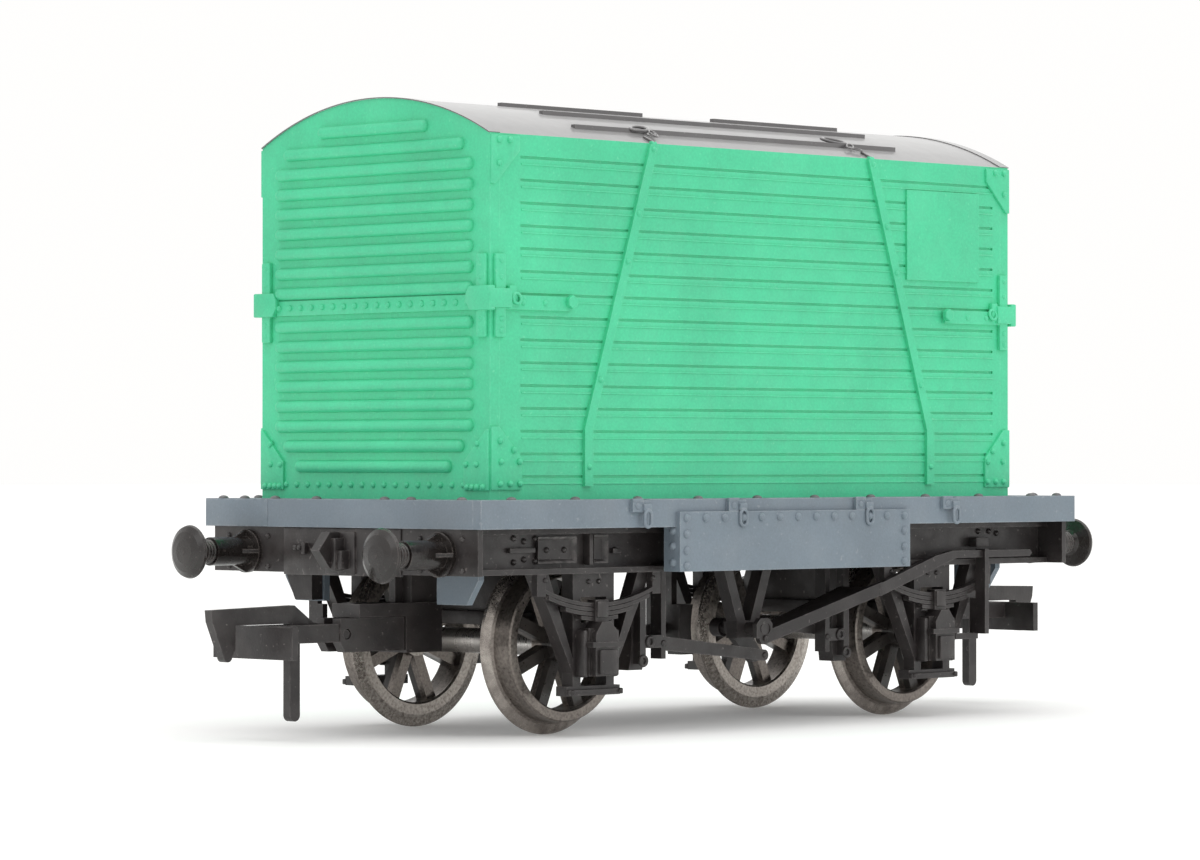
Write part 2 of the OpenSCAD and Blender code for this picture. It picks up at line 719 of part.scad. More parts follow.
// One rib with round ends, centred on the wagon's middle and standing half out of the wall.
module rib(half_width, height) {
  radius = rib_diameter / 2;
  translate([0, 0, height]) {
    rotate([90, 0, 0]) cylinder(r = radius, h = 2 * half_width, center = true, $fn = 24);
    for (s = [-1, 1]) translate([0, s * half_width, 0]) sphere(r = radius, $fn = 24);
  }
}

module container_end(end) {
  outer = container_length / 2;
  full = container_width / 2 - 2.3;
  last = rib_count - 1;
  color("mediumseagreen") on_load() at_end(end) translate([-outer, 0, 0]) union() {
    rotate([90, 0, 90]) linear_extrude(height = wall_thickness) end_outline();
    for (k = [0 : last]) {
      rib(k == last ? full - 1 : full, middle_height + 1.15 + k * rib_pitch);
      rib(k == last ? full - 2.4 : k == last - 1 ? full - 1 : full, middle_height - 1.5 - k * rib_pitch);
    }
    rib(full - 5.1, middle_height + 1.15 + rib_count * rib_pitch);
  }
}

module container_roof() {
  half = container_length / 2 - wall_thickness;
  strip = 0.45;
  color("gray") on_load() union() {
    translate([-half, 0, 0]) rotate([90, 0, 90]) linear_extrude(height = 2 * half) difference() {
      intersection() {
        translate([0, roof_centre]) circle(r = roof_radius, $fn = 144);
        translate([-container_width / 2, eave]) square([container_width, roof_rise + 1]);
      }
      translate([0, roof_centre]) circle(r = roof_radius - roof_thickness, $fn = 144);
    }
    for (s = [-1, 1], row = roof_strips) {
      y = container_width / 2 - row[0];
      z = roof_centre + sqrt(pow(roof_radius, 2) - pow(y, 2));
      block([row[1], s * y - strip / 2, z - 0.4], [row[2], s * y + strip / 2, z + 0.28]);
    }
  }
}

module container_floor() {
  half_x = container_length / 2 - wall_thickness;
  half_y = container_width / 2 - wall_thickness;
  color("burlywood") on_load()
    block([-half_x, -half_y, deck_height], [half_x, half_y, deck_height + 1]);
}

// --- Nodes ---

deck_floor();
for (side = SIDES) {
  side_rail(side);
  chain_box(side);
  solebar(side);
  brake_lever(side);
  container_side(side);
}
for (end = ENDS) {
  end_rail(end);
  headstock(end);
  coupling_pocket(end);
  coupling_loop(end);
  coupling_hook(end);
  axle(end);
  container_end(end);
}
for (end = ENDS, side = SIDES) {
  buffer_housing(end, side);
  buffer_head(end, side);
  wheel(end, side);
  axle_guard(end, side);
  axlebox(end, side);
  leaf_spring(end, side);
}
ballast_weight();
underfloor();
body_clips();
draw_hooks();
lashing_cleats();
v_hangers();
brake_shoes();
push_rods();
brake_shafts();
container_roof();
container_floor();
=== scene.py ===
import math

import bmesh
import bpy
from mathutils import Matrix, Vector


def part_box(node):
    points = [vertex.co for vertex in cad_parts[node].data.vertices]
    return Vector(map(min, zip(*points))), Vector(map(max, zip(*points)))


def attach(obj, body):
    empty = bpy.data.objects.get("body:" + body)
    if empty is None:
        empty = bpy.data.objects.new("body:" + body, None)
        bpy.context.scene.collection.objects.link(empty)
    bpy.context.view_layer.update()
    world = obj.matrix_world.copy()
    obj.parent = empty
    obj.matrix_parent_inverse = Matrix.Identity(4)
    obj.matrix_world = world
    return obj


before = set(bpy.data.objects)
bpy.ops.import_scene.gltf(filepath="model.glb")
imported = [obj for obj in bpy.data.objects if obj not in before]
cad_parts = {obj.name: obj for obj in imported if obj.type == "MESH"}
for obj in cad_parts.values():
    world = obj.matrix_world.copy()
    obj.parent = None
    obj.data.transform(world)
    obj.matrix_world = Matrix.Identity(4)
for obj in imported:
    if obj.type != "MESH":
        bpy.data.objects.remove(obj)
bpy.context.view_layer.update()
bpy.ops.object.select_all(action="DESELECT")

# ---------------------------------------------------------------- Camera
# A long lens a little above the deck's top, turned to look along the wagon
# from its rear right corner, so that both the end and the side show.
LENS_MM = 137.54
view_turn = math.radians(-44.817)
view_rise = math.radians(-0.542)
view_distance = 0.374822
looked_at = Vector((-0.007015, 0, 0.024978))
bpy.ops.object.camera_add()
camera = bpy.context.object
camera.data.sensor_width = 36
camera.data.lens = LENS_MM
camera.data.shift_x = 0.0038
camera.data.shift_y = -0.0100
camera.data.clip_start = 0.01
camera.data.clip_end = 20
back = Vector((math.sin(view_turn) * math.cos(view_rise), -math.cos(view_turn) * math.cos(view_rise),
               math.sin(view_rise)))
camera.location = looked_at + view_distance * back
camera.rotation_euler = (math.pi / 2 - view_rise, 0, view_turn)
bpy.context.scene.camera = camera

# ---------------------------------------------------------------- Studio
# A white table that runs out of sight in a white room, lit from straight above by
# a broad soft sun, with a key lamp on the long side and a weaker one at the rear end.
bpy.ops.mesh.primitive_plane_add(size=6, location=(0, 0, 0))
floor = bpy.context.object
floor.name = "floor"
paper = bpy.data.materials.new("white_table")
paper.use_nodes = True
paper_nodes = paper.node_tree.nodes
paper_shader = paper_nodes["Principled BSDF"]
paper_shader.inputs["Roughness"].default_value = 0.85
paper_shader.inputs["Specular IOR Level"].default_value = 0.2
paper_grain = paper_nodes.new("ShaderNodeTexNoise")
paper_grain.inputs["Scale"].default_value = 400
paper_ramp = paper_nodes.new("ShaderNodeValToRGB")
paper_ramp.color_ramp.elements[0].color = (0.86, 0.86, 0.85, 1)
paper_ramp.color_ramp.elements[1].color = (0.93, 0.93, 0.92, 1)
paper.node_tree.links.new(paper_grain.outputs["Fac"], paper_ramp.inputs["Fac"])
paper.node_tree.links.new(paper_ramp.outputs["Color"], paper_shader.inputs["Base Color"])
paper_shader.inputs["Emission Color"].default_value = (1, 1, 0.99, 1)
paper_shader.inputs["Emission Strength"].default_value = 0.14
floor.data.materials.append(paper)

room = bpy.data.worlds.new("white_room")
bpy.context.scene.world = room
room.use_nodes = True
room_nodes, room_links = room.node_tree.nodes, room.node_tree.links
room_nodes["Background"].inputs["Color"].default_value = (1, 0.995, 0.985, 1)
room_light = room_nodes.new("ShaderNodeMapRange")
room_light.inputs["To Min"].default_value = 0.62
room_light.inputs["To Max"].default_value = 1.0
room_rays = room_nodes.new("ShaderNodeLightPath")
room_seen = room_nodes.new("ShaderNodeMath")
room_seen.operation = "MAXIMUM"
room_links.new(room_rays.outputs["Is Camera Ray"], room_seen.inputs[0])
room_links.new(room_rays.outputs["Is Glossy Ray"], room_seen.inputs[1])
room_links.new(room_seen.outputs[0], room_light.inputs["Value"])
room_links.new(room_light.outputs["Result"], room_nodes["Background"].inputs["Strength"])
bpy.context.scene.view_settings.view_transform = "Standard"


def soft_box(name, place, aim, size, watts):
    bpy.ops.object.light_add(type="AREA", location=place)
    light = bpy.context.object
    light.name = name
    light.data.shape = "SQUARE"
    light.data.size = size
    light.data.energy = watts
    light.rotation_euler = (Vector(aim) - Vector(place)).to_track_quat("-Z", "Y").to_euler()


soft_box("key", (0.12, -0.42, 0.30), (0, 0, 0.03), 0.30, 0.45)
soft_box("rear", (-0.42, -0.02, 0.30), (0, 0, 0.03), 0.30, 0.28)
bpy.ops.object.light_add(type="SUN", location=(0, 0, 0.6))
overhead = bpy.context.object
overhead.name = "overhead"
overhead.data.energy = 1.55
overhead.data.angle = math.radians(75)

# ---------------------------------------------------------------- Container paint
# The container is one green plastic moulding, sprayed satin green. The paint is
# a little uneven and finely grained, paler on its edges, partly from wear and partly as a painted highlight,
# with dust in corners.
MM = 0.001


def new_group(name, inputs, outputs):
    """A shader node group with named sockets, each given as (name, kind, value) or (name, kind)."""
    tree = bpy.data.node_groups.new(name, "ShaderNodeTree")
    for label, kind, value in inputs:
        socket = tree.interface.new_socket(name=label, in_out="INPUT", socket_type=kind)
        socket.default_value = value
    for label, kind in outputs:
        tree.interface.new_socket(name=label, in_out="OUTPUT", socket_type=kind)
    return tree, tree.nodes.new("NodeGroupInput"), tree.nodes.new("NodeGroupOutput")


def math_node(tree, operation, first, second=None):
    """A Math node whose inputs are sockets or plain numbers."""
    node = tree.nodes.new("ShaderNodeMath")
    node.operation = operation
    for socket, value in zip(node.inputs, (first, second)):
        if isinstance(value, (int, float)):
            socket.default_value = value
        elif value is not None:
            tree.links.new(value, socket)
    return node.outputs[0]


def noise(tree, scale, detail=3.0, place=None):
    node = tree.nodes.new("ShaderNodeTexNoise")
    node.inputs["Detail"].default_value = detail
    if isinstance(scale, (int, float)):
        node.inputs["Scale"].default_value = scale
    else:
        tree.links.new(scale, node.inputs["Scale"])
    tree.links.new(place or tree.nodes.new("ShaderNodeTexCoord").outputs["Object"], node.inputs["Vector"])
    return node.outputs["Fac"]


def between(tree, value, low, high, start=0.0, end=1.0):
    """Maps a value from low..high to start..end, and clamps it there."""
    node = tree.nodes.new("ShaderNodeMapRange")
    node.clamp = True
    for label, number in (("From Min", low), ("From Max", high), ("To Min", start), ("To Max", end)):
        node.inputs[label].default_value = number
    tree.links.new(value, node.inputs["Value"])
    return node.outputs["Result"]


def blend_colour(tree, amount, first, second):
    node = tree.nodes.new("ShaderNodeMix")
    node.data_type = "RGBA"
    for socket, value in ((node.inputs["Factor"], amount), (node.inputs[6], first), (node.inputs[7], second)):
        if isinstance(value, (tuple, float)):
            socket.default_value = value
        else:
            tree.links.new(value, socket)
    return node.outputs[2]


# Paler edges, partly worn paint and partly a painted highlight: the surface's own direction against its
# direction with rounded edges.
edge_tree, edge_in, edge_out = new_group("edge_wear_and_highlight", [("Radius", "NodeSocketFloat", 0.15 * MM),
                                                       ("Amount", "NodeSocketFloat", 0.5)],
                                         [("Mask", "NodeSocketFloat")])
rounding = edge_tree.nodes.new("ShaderNodeBevel")
rounding.samples = 4
edge_tree.links.new(edge_in.outputs["Radius"], rounding.inputs["Radius"])
surface = edge_tree.nodes.new("ShaderNodeNewGeometry")
facing = edge_tree.nodes.new("ShaderNodeVectorMath")
facing.operation = "DOT_PRODUCT"
edge_tree.links.new(rounding.outputs["Normal"], facing.inputs[0])
edge_tree.links.new(surface.outputs["True Normal"], facing.inputs[1])
edge = between(edge_tree, facing.outputs["Value"], 0.995, 0.86)
patchy = between(edge_tree, noise(edge_tree, 1400, 4), 0.38, 0.62)
wear_and_highlight_mask = math_node(edge_tree, "MULTIPLY", math_node(edge_tree, "MULTIPLY", edge, patchy),
                      edge_in.outputs["Amount"])
edge_tree.links.new(wear_and_highlight_mask, edge_out.inputs["Mask"])

# Sprayed satin paint: broad unevenness, fine grain, specks of dust and paler edges, partly worn paint and
# partly a painted highlight.
paint_tree, paint_in, paint_out = new_group(
    "satin_paint",
    [("Colour", "NodeSocketColor", (0.1, 0.5, 0.3, 1)),
     ("Worn And Highlight Colour", "NodeSocketColor", (0.3, 0.7, 0.5, 1)),
     ("Dust Colour", "NodeSocketColor", (0.6, 0.6, 0.58, 1)), ("Dust", "NodeSocketFloat", 0.3),
     ("Grain Scale", "NodeSocketFloat", 5200.0), ("Gloss Low", "NodeSocketFloat", 0.38),
     ("Gloss High", "NodeSocketFloat", 0.52), ("Wear And Highlight", "NodeSocketFloat", 0.4)],
    [("Colour", "NodeSocketColor"), ("Roughness", "NodeSocketFloat"), ("Height", "NodeSocketFloat")])
broad = noise(paint_tree, 110, 3)
middle = noise(paint_tree, 900, 4)
grain = noise(paint_tree, paint_in.outputs["Grain Scale"], 2)
mottle = math_node(paint_tree, "ADD", between(paint_tree, middle, 0.3, 0.7, -0.035, 0.035),
                   between(paint_tree, grain, 0.3, 0.7, -0.05, 0.05))
shade = math_node(paint_tree, "ADD", between(paint_tree, broad, 0.3, 0.7, 0.92, 1.06), mottle)
shaded = paint_tree.nodes.new("ShaderNodeVectorMath")
shaded.operation = "SCALE"
paint_tree.links.new(paint_in.outputs["Colour"], shaded.inputs[0])
paint_tree.links.new(shade, shaded.inputs["Scale"])
worn_and_lit_edges = paint_tree.nodes.new("ShaderNodeGroup")
worn_and_lit_edges.node_tree = edge_tree
paint_tree.links.new(paint_in.outputs["Wear And Highlight"], worn_and_lit_edges.inputs["Amount"])
with_wear_and_highlight = blend_colour(paint_tree, worn_and_lit_edges.outputs["Mask"], shaded.outputs[0], paint_in.outputs["Worn And Highlight Colour"])
specks = between(paint_tree, noise(paint_tree, 2600, 3), 0.66, 0.74)
film = between(paint_tree, noise(paint_tree, 300, 5), 0.45, 0.8, 0.0, 0.35)
dust = math_node(paint_tree, "MULTIPLY", math_node(paint_tree, "MAXIMUM", specks, film),
                 paint_in.outputs["Dust"])
with_dust = blend_colour(paint_tree, dust, with_wear_and_highlight, paint_in.outputs["Dust Colour"])
gloss_span = paint_tree.nodes.new("ShaderNodeMapRange")
gloss_span.inputs["From Min"].default_value = 0.3
gloss_span.inputs["From Max"].default_value = 0.7
paint_tree.links.new(middle, gloss_span.inputs["Value"])
paint_tree.links.new(paint_in.outputs["Gloss Low"], gloss_span.inputs["To Min"])
paint_tree.links.new(paint_in.outputs["Gloss High"], gloss_span.inputs["To Max"])
height = math_node(paint_tree, "ADD", math_node(paint_tree, "MULTIPLY", grain, 0.6),
                   math_node(paint_tree, "MULTIPLY", middle, 0.4))
paint_tree.links.new(with_dust, paint_out.inputs["Colour"])
paint_tree.links.new(gloss_span.outputs["Result"], paint_out.inputs["Roughness"])
paint_tree.links.new(height, paint_out.inputs["Height"])


def finish_material(name, group, values, bump=0.018, metallic=0.0):
    """A material whose colour, roughness and bump, in mm, come from a node group set to its own values."""
    material = bpy.data.materials.new(name)
    material.use_nodes = True
    nodes, links = material.node_tree.nodes, material.node_tree.links
    shader = nodes["Principled BSDF"]
    shader.inputs["Metallic"].default_value = metallic
    source = nodes.new("ShaderNodeGroup")
    source.node_tree = group
    for label, value in values.items():
        source.inputs[label].default_value = value
    relief = nodes.new("ShaderNodeBump")
    relief.inputs["Strength"].default_value = 0.8
    relief.inputs["Distance"].default_value = bump * MM
    links.new(source.outputs["Colour"], shader.inputs["Base Color"])
    links.new(source.outputs["Roughness"], shader.inputs["Roughness"])
    links.new(source.outputs["Height"], relief.inputs["Height"])
    links.new(relief.outputs["Normal"], shader.inputs["Normal"])
    return material


def dress(material, *names):
    """Gives CAD nodes a material, in place of what they came with."""
    for name in names:
        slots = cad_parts[name].data.materials
        slots.clear()
        slots.append(material)


container_green = finish_material(
    "container_green", paint_tree,
    {"Colour": (0.066, 0.585, 0.310, 1), "Worn And Highlight Colour": (0.22, 0.76, 0.50, 1), "Dust": 0.12,
     "Dust Colour": (0.45, 0.78, 0.62, 1), "Gloss Low": 0.40, "Gloss High": 0.54, "Wear And Highlight": 0.35})
dress(container_green, "container_side_right", "container_side_left", "container_end_rear",
      "container_end_front", "container_floor")

# ---------------------------------------------------------------- Container rivets
# Dome-headed rivets, cast with the moulding: a row on the middle strip and along
# the foot of each end, clusters on the corner plates, and one by one on the straps.
inner_low, inner_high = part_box("container_floor")
WALL = 1.0 * MM
load_middle = (inner_low + inner_high) / 2
load_base = inner_low.z
load_half_x = (inner_high.x - inner_low.x) / 2 + WALL
load_half_y = (inner_high.y - inner_low.y) / 2 + WALL
on_load = Matrix.Translation((load_middle.x, load_middle.y, 0))
half_turns = [Matrix.Identity(4), Matrix.Rotation(math.pi, 4, "Z")]
out_of_side = Matrix.Rotation(math.pi / 2, 4, "X")
out_of_end = Matrix.Rotation(-math.pi / 2, 4, "Y")


def copies(master, name, places):
    """Copies a modelled piece to each place, every copy with its own mesh, and joins them into one piece."""
    made = []
    for place in places:
        piece = master.copy()
        piece.data = master.data.copy()
        piece.data.transform(place)
        if place.determinant() < 0:
            piece.data.flip_normals()
        bpy.context.scene.collection.objects.link(piece)
        made.append(piece)
    bpy.data.objects.remove(master)
    return join_pieces(made, name)


def join_pieces(pieces, name):
    bpy.ops.object.select_all(action="DESELECT")
    for piece in pieces:
        piece.select_set(True)
    bpy.context.view_layer.objects.active = pieces[0]
    if len(pieces) > 1:
        bpy.ops.object.join()
    joined = bpy.context.view_layer.objects.active
    joined.name = name
    joined.data.name = name
    return joined


def dome(radius, height, segments=12):
    """A dome-headed rivet that stands on the origin, with its foot 0.1 mm below it."""
    bpy.ops.mesh.primitive_cylinder_add(vertices=segments, radius=radius, depth=0.1 * MM,
                                        location=(0, 0, -0.05 * MM))
    head = bpy.context.object
    bpy.ops.object.transform_apply(location=True, rotation=True, scale=True)
    bpy.ops.object.mode_set(mode="EDIT")
    rings = 3
    bpy.ops.mesh.select_all(action="DESELECT")
    mesh = bmesh.from_edit_mesh(head.data)
    top = max(mesh.faces, key=lambda face: face.calc_center_median().z)
    top.select = True
    bmesh.update_edit_mesh(head.data)
    for ring in range(1, rings):
        before = math.cos(math.pi / 2 * (ring - 1) / rings)
        now = math.cos(math.pi / 2 * ring / rings)
        rise = height * (math.sin(math.pi / 2 * ring / rings) - math.sin(math.pi / 2 * (ring - 1) / rings))
        bpy.ops.mesh.extrude_region_move(TRANSFORM_OT_translate={"value": (0, 0, rise)})
        bpy.ops.transform.resize(value=(now / before, now / before, 1))
    bpy.ops.mesh.extrude_region_move(TRANSFORM_OT_translate={
        "value": (0, 0, height * (1 - math.sin(math.pi / 2 * (rings - 1) / rings)))})
    bpy.ops.transform.resize(value=(0.2, 0.2, 1))
    bpy.ops.object.mode_set(mode="OBJECT")
    bpy.ops.object.shade_smooth_by_angle(angle=math.radians(50))
    return head


def settle(piece, body, material):
    """Finishes a new piece: its material and its body."""
    piece.data.materials.clear()
    piece.data.materials.append(material)
    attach(piece, body)
    return piece


# Each end has two rows, given as (rivets, level), and clusters near its corners, as (inset, level).
END_ROW_PITCH = 1.29 * MM
END_ROWS = ((18, 33.62), (17, 19.6))
end_spots = [((step - (count - 1) / 2) * END_ROW_PITCH, level * MM) for count, level in END_ROWS
             for step in range(count)]
for side in (-1, 1):
    for inset, level in ((0.55, 19.45), (1.2, 19.45), (1.75, 19.45), (2.3, 19.45), (2.45, 21.2),
                         (1.25, 21.2), (1.2, 22.8)):
        end_spots.append((side * (load_half_y - inset * MM), level * MM))
    for inset, level in ((0.75, 36.8), (0.75, 35.5), (0.75, 32.3), (0.75, 31.4), (1.7, 33.5), (1.7, 34.4)):
        end_spots.append((side * (load_half_y - inset * MM), level * MM))
# The foot row stands on the bare wall between the corner plates, and the other rivets on a plate.
PLATE = 0.22 * MM
BETWEEN_PLATES, FOOT_TOP = 10.6 * MM, 20 * MM
end_places = []
for turn in half_turns:
    for y, level in end_spots:
        proud = 0 if abs(y) < BETWEEN_PLATES and level < FOOT_TOP else PLATE
        end_places.append(on_load @ turn @ Matrix.Translation((-load_half_x - proud, y, level)) @ out_of_end)
side_spots = []
for inset, level in ((0.85, 23.0), (2.3, 22.3), (0.95, 21.4), (2.9, 21.4), (0.85, 19.7), (1.9, 19.7),
                     (2.95, 19.7), (0.75, 46.0), (1.9, 46.0), (0.75, 44.2), (0.9, 36.8), (0.9, 35.5),
                     (0.9, 32.3), (0.9, 31.4)):
    for end in (-1, 1):
        side_spots.append((end * (load_half_x - inset * MM), level * MM))
# The straps run down each side from the eave to a knee, given as (distance from the middle, level).
STRAP_TOP, STRAP_KNEE = (12.85 * MM, 46.4 * MM), (20.15 * MM, 24.0 * MM)
for level in (46.0, 40.9, 37.1, 27.8, 21.0):
    share = min(1, (STRAP_TOP[1] - level * MM) / (STRAP_TOP[1] - STRAP_KNEE[1]))
    for end in (-1, 1):
        side_spots.append((end * (STRAP_TOP[0] + share * (STRAP_KNEE[0] - STRAP_TOP[0])), level * MM))
side_spots += [(end * (load_half_x - inset * MM), 33.6 * MM) for end in (-1, 1) for inset in (3.2, 5.6)]
STRAP = 0.27 * MM
side_places = [on_load @ turn @ Matrix.Translation((x, -load_half_y - STRAP, level)) @ out_of_side
               for turn in half_turns for x, level in side_spots]
container_rivets = copies(dome(0.26 * MM, 0.2 * MM), "container_rivets", end_places + side_places)
settle(container_rivets, "container", container_green)

# ---------------------------------------------------------------- Container corner plates
# Each corner is held by thin angle plates at the foot and the eaves, a long hinge
# strap on both faces, and a stout bracket round the corner at the middle strip.


def plate(name, low, high, cuts=(), bevel=0.05 * MM):
    """A block between two corners, cut by planes given as (point, outward direction), with eased edges."""
    low, high = Vector(low), Vector(high)
    bpy.ops.mesh.primitive_cube_add(size=1, location=(low + high) / 2)
    piece = bpy.context.object
    piece.name = name
    piece.scale = high - low
    bpy.ops.object.transform_apply(location=True, rotation=True, scale=True)
    bpy.ops.object.mode_set(mode="EDIT")
    for point, outward in cuts:
        bpy.ops.mesh.select_all(action="SELECT")
        bpy.ops.mesh.bisect(plane_co=point, plane_no=outward, use_fill=True, clear_outer=True)
    bpy.ops.mesh.select_all(action="SELECT")
    if bevel:
        bpy.ops.mesh.bevel(offset=bevel, segments=2, affect="EDGES")
    bpy.ops.object.mode_set(mode="OBJECT")
    bpy.ops.object.shade_smooth_by_angle(angle=math.radians(40))
    return piece


# Each shape is made at the rear right corner and mirrored to the others.
mirrors = [Matrix.Diagonal((x, y, 1, 1)) for x in (1, -1) for y in (1, -1)]
four_corners = [on_load @ mirror for mirror in mirrors]
edge_x, edge_y = -load_half_x, -load_half_y
side_foot = plate("side_foot", (edge_x + 0.02 * MM, edge_y - PLATE, 19.25 * MM),
                  (edge_x + 3.2 * MM, edge_y + 0.1 * MM, 24.1 * MM),
                  [((edge_x + 3.2 * MM, edge_y, 21.7 * MM), (2.2, 0, 2.0))])
end_foot = plate("end_foot", (edge_x - PLATE, edge_y + 0.02 * MM, 19.2 * MM),
                 (edge_x + 0.1 * MM, edge_y + 2.75 * MM, 23.9 * MM),
                 [((edge_x, edge_y + 2.75 * MM, 21.4 * MM), (0, 2.6, 1.9))])
eave_plate = plate("eave_plate", (edge_x + 0.02 * MM, edge_y - PLATE, 42.6 * MM),
                   (edge_x + 3.0 * MM, edge_y + 0.1 * MM, 46.35 * MM),
                   [((edge_x + 3.0 * MM, edge_y, 45.2 * MM), (1.9, 0, -1.3))])
side_hinge = plate("side_hinge", (edge_x + 0.35 * MM, edge_y - 0.34 * MM, 30.9 * MM),
                   (edge_x + 1.4 * MM, edge_y + 0.1 * MM, 37.3 * MM), bevel=0.12 * MM)
end_hinge = plate("end_hinge", (edge_x - 0.34 * MM, edge_y + 0.25 * MM, 30.9 * MM),
                  (edge_x + 0.1 * MM, edge_y + 1.25 * MM, 37.3 * MM), bevel=0.12 * MM)
side_bracket = plate("side_bracket", (edge_x - 0.5 * MM, edge_y - 0.55 * MM, 33.15 * MM),
                     (edge_x + 1.9 * MM, edge_y + 0.1 * MM, 34.65 * MM), bevel=0.12 * MM)
end_bracket = plate("end_bracket", (edge_x - 0.55 * MM, edge_y - 0.5 * MM, 32.95 * MM),
                    (edge_x + 0.1 * MM, edge_y + 2.2 * MM, 34.85 * MM),
                    [((edge_x, edge_y + 2.2 * MM, 33.6 * MM), (0, 1, -0.7)),
                     ((edge_x, edge_y + 2.2 * MM, 34.3 * MM), (0, 1, 0.7))], bevel=0.1 * MM)
side_lug = plate("side_lug", (edge_x + 1.7 * MM, edge_y - 0.4 * MM, 33.3 * MM),
                 (edge_x + 2.5 * MM, edge_y + 0.1 * MM, 34.9 * MM), bevel=0.15 * MM)
corner_set = join_pieces([side_foot, end_foot, eave_plate, side_hinge, end_hinge, side_bracket, end_bracket,
                          side_lug], "corner_set")
corner_plates = copies(corner_set, "container_corner_plates", four_corners)
settle(corner_plates, "container", container_green)

bpy.ops.mesh.primitive_torus_add(major_radius=0.42 * MM, minor_radius=0.13 * MM, major_segments=20,
                                 minor_segments=8)
catch_ring = bpy.context.object
catch_places = [place @ Matrix.Translation((edge_x + 2.45 * MM, edge_y - 0.42 * MM, 33.9 * MM))
                @ Matrix.Rotation(math.radians(78), 4, "X") for place in four_corners]
catch_rings = copies(catch_ring, "container_catch_rings", catch_places)
bpy.ops.object.shade_smooth()
settle(catch_rings, "container", container_green)

# ---------------------------------------------------------------- Container strips
# A flat riveted strip crosses each end between its two fields of ribs, and raised
# beads run below the plank lines of the sides, as the boards' lips.
end_strip = plate("end_strip", (edge_x - 0.2 * MM, -11.3 * MM, 33.0 * MM),
                  (edge_x + 0.1 * MM, 11.3 * MM, 34.2 * MM))
end_strips = copies(end_strip, "container_end_strips", [on_load @ turn for turn in half_turns])
settle(end_strips, "container", container_green)

PLANKS = 16
plank_pitch = (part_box("container_side_right")[1].z - load_base) / PLANKS
first_bead = load_base + 0.66 * plank_pitch
bead = plate("bead", (edge_x + 3.3 * MM, edge_y - 0.07 * MM, first_bead),
             (load_half_x - 2.0 * MM, edge_y + 0.1 * MM, first_bead + 0.13 * MM), bevel=0.03 * MM)
bpy.ops.object.modifier_add(type="ARRAY")
bead_rows = bead.modifiers[-1]
bead_rows.count = PLANKS - 1
bead_rows.use_relative_offset = False
bead_rows.use_constant_offset = True
bead_rows.constant_offset_displace = (0, 0, plank_pitch)
bpy.ops.object.modifier_apply(modifier=bead_rows.name)
plank_beads = copies(bead, "container_plank_beads", [on_load @ turn for turn in half_turns])
settle(plank_beads, "container", container_green)

bpy.ops.mesh.primitive_cylinder_add(vertices=6, radius=0.55 * MM, depth=0.5 * MM, location=(0, 0, 0.15 * MM))
boss = bpy.context.object
bpy.ops.object.transform_apply(location=True, rotation=True, scale=True)
bpy.ops.object.mode_set(mode="EDIT")
bpy.ops.mesh.select_all(action="SELECT")
bpy.ops.mesh.bevel(offset=0.1 * MM, segments=2, affect="EDGES")
bpy.ops.object.mode_set(mode="OBJECT")
boss_places = [on_load @ turn @ Matrix.Translation((end * 22.2 * MM, edge_y - 0.3 * MM, 33.75 * MM))
               @ out_of_side for turn in half_turns for end in (-1, 1)]
strap_bosses = copies(boss, "container_band_bosses", boss_places)
settle(strap_bosses, "container", container_green)

# ---------------------------------------------------------------- Container roof
# A thin curved sheet painted dark grey, with seam strips along it. Above each
# strap chain links lie on the roof, with a wire and a hook at the eave.
roof_grey = finish_material(
    "roof_grey", paint_tree,
    {"Colour": (0.085, 0.080, 0.082, 1), "Worn And Highlight Colour": (0.22, 0.21, 0.21, 1), "Dust": 0.22,
     "Dust Colour": (0.40, 0.39, 0.38, 1), "Gloss Low": 0.34, "Gloss High": 0.46, "Wear And Highlight": 0.4})
roof_shader = roof_grey.node_tree.nodes["Principled BSDF"]
roof_shader.inputs["Sheen Weight"].default_value = 1.0
roof_shader.inputs["Sheen Roughness"].default_value = 0.35
roof_shader.inputs["Coat Weight"].default_value = 0.9
roof_shader.inputs["Coat Roughness"].default_value = 0.12
dress(roof_grey, "container_roof")
roof_rise = 3.3 * MM
wall_height = 28.0 * MM
eave = load_base + wall_height
roof_radius = (load_half_y ** 2 + roof_rise ** 2) / (2 * roof_rise)


def on_roof(x, y, lift=0.0):
    """A place on the roof's curve, with its own upright turned to stand square to the sheet."""
    tilt = math.asin(y / roof_radius)
    level = eave + roof_rise - roof_radius + (roof_radius + lift) * math.cos(tilt)
    return Matrix.Translation((x, y, level)) @ Matrix.Rotation(-tilt, 4, "X")


# The sheet's two ends lap over the end walls: a flat bar spun from the crown down to one eave.
roof_middle = eave + roof_rise - roof_radius
LAP = 0.09 * MM
bpy.ops.mesh.primitive_plane_add(size=1, rotation=(math.pi / 2, 0, 0), location=(
    -load_half_x + WALL / 2 - 0.04 * MM, 0, roof_middle + roof_radius + LAP / 2 - 0.02 * MM))
lap = bpy.context.object
lap.scale = (WALL + 0.16 * MM, LAP, 1)
bpy.ops.object.transform_apply(location=True, rotation=True, scale=True)
bpy.ops.object.mode_set(mode="EDIT")
bpy.ops.mesh.select_all(action="SELECT")
bpy.ops.mesh.spin(steps=20, angle=math.asin(load_half_y / roof_radius), center=(0, 0, roof_middle),
                  axis=(1, 0, 0), dupli=False)
bpy.ops.mesh.select_all(action="SELECT")
bpy.ops.mesh.normals_make_consistent(inside=False)
bpy.ops.object.mode_set(mode="OBJECT")
bpy.ops.object.shade_smooth_by_angle(angle=math.radians(30))
roof_laps = copies(lap, "container_roof_laps", four_corners)
settle(roof_laps, "container", roof_grey)

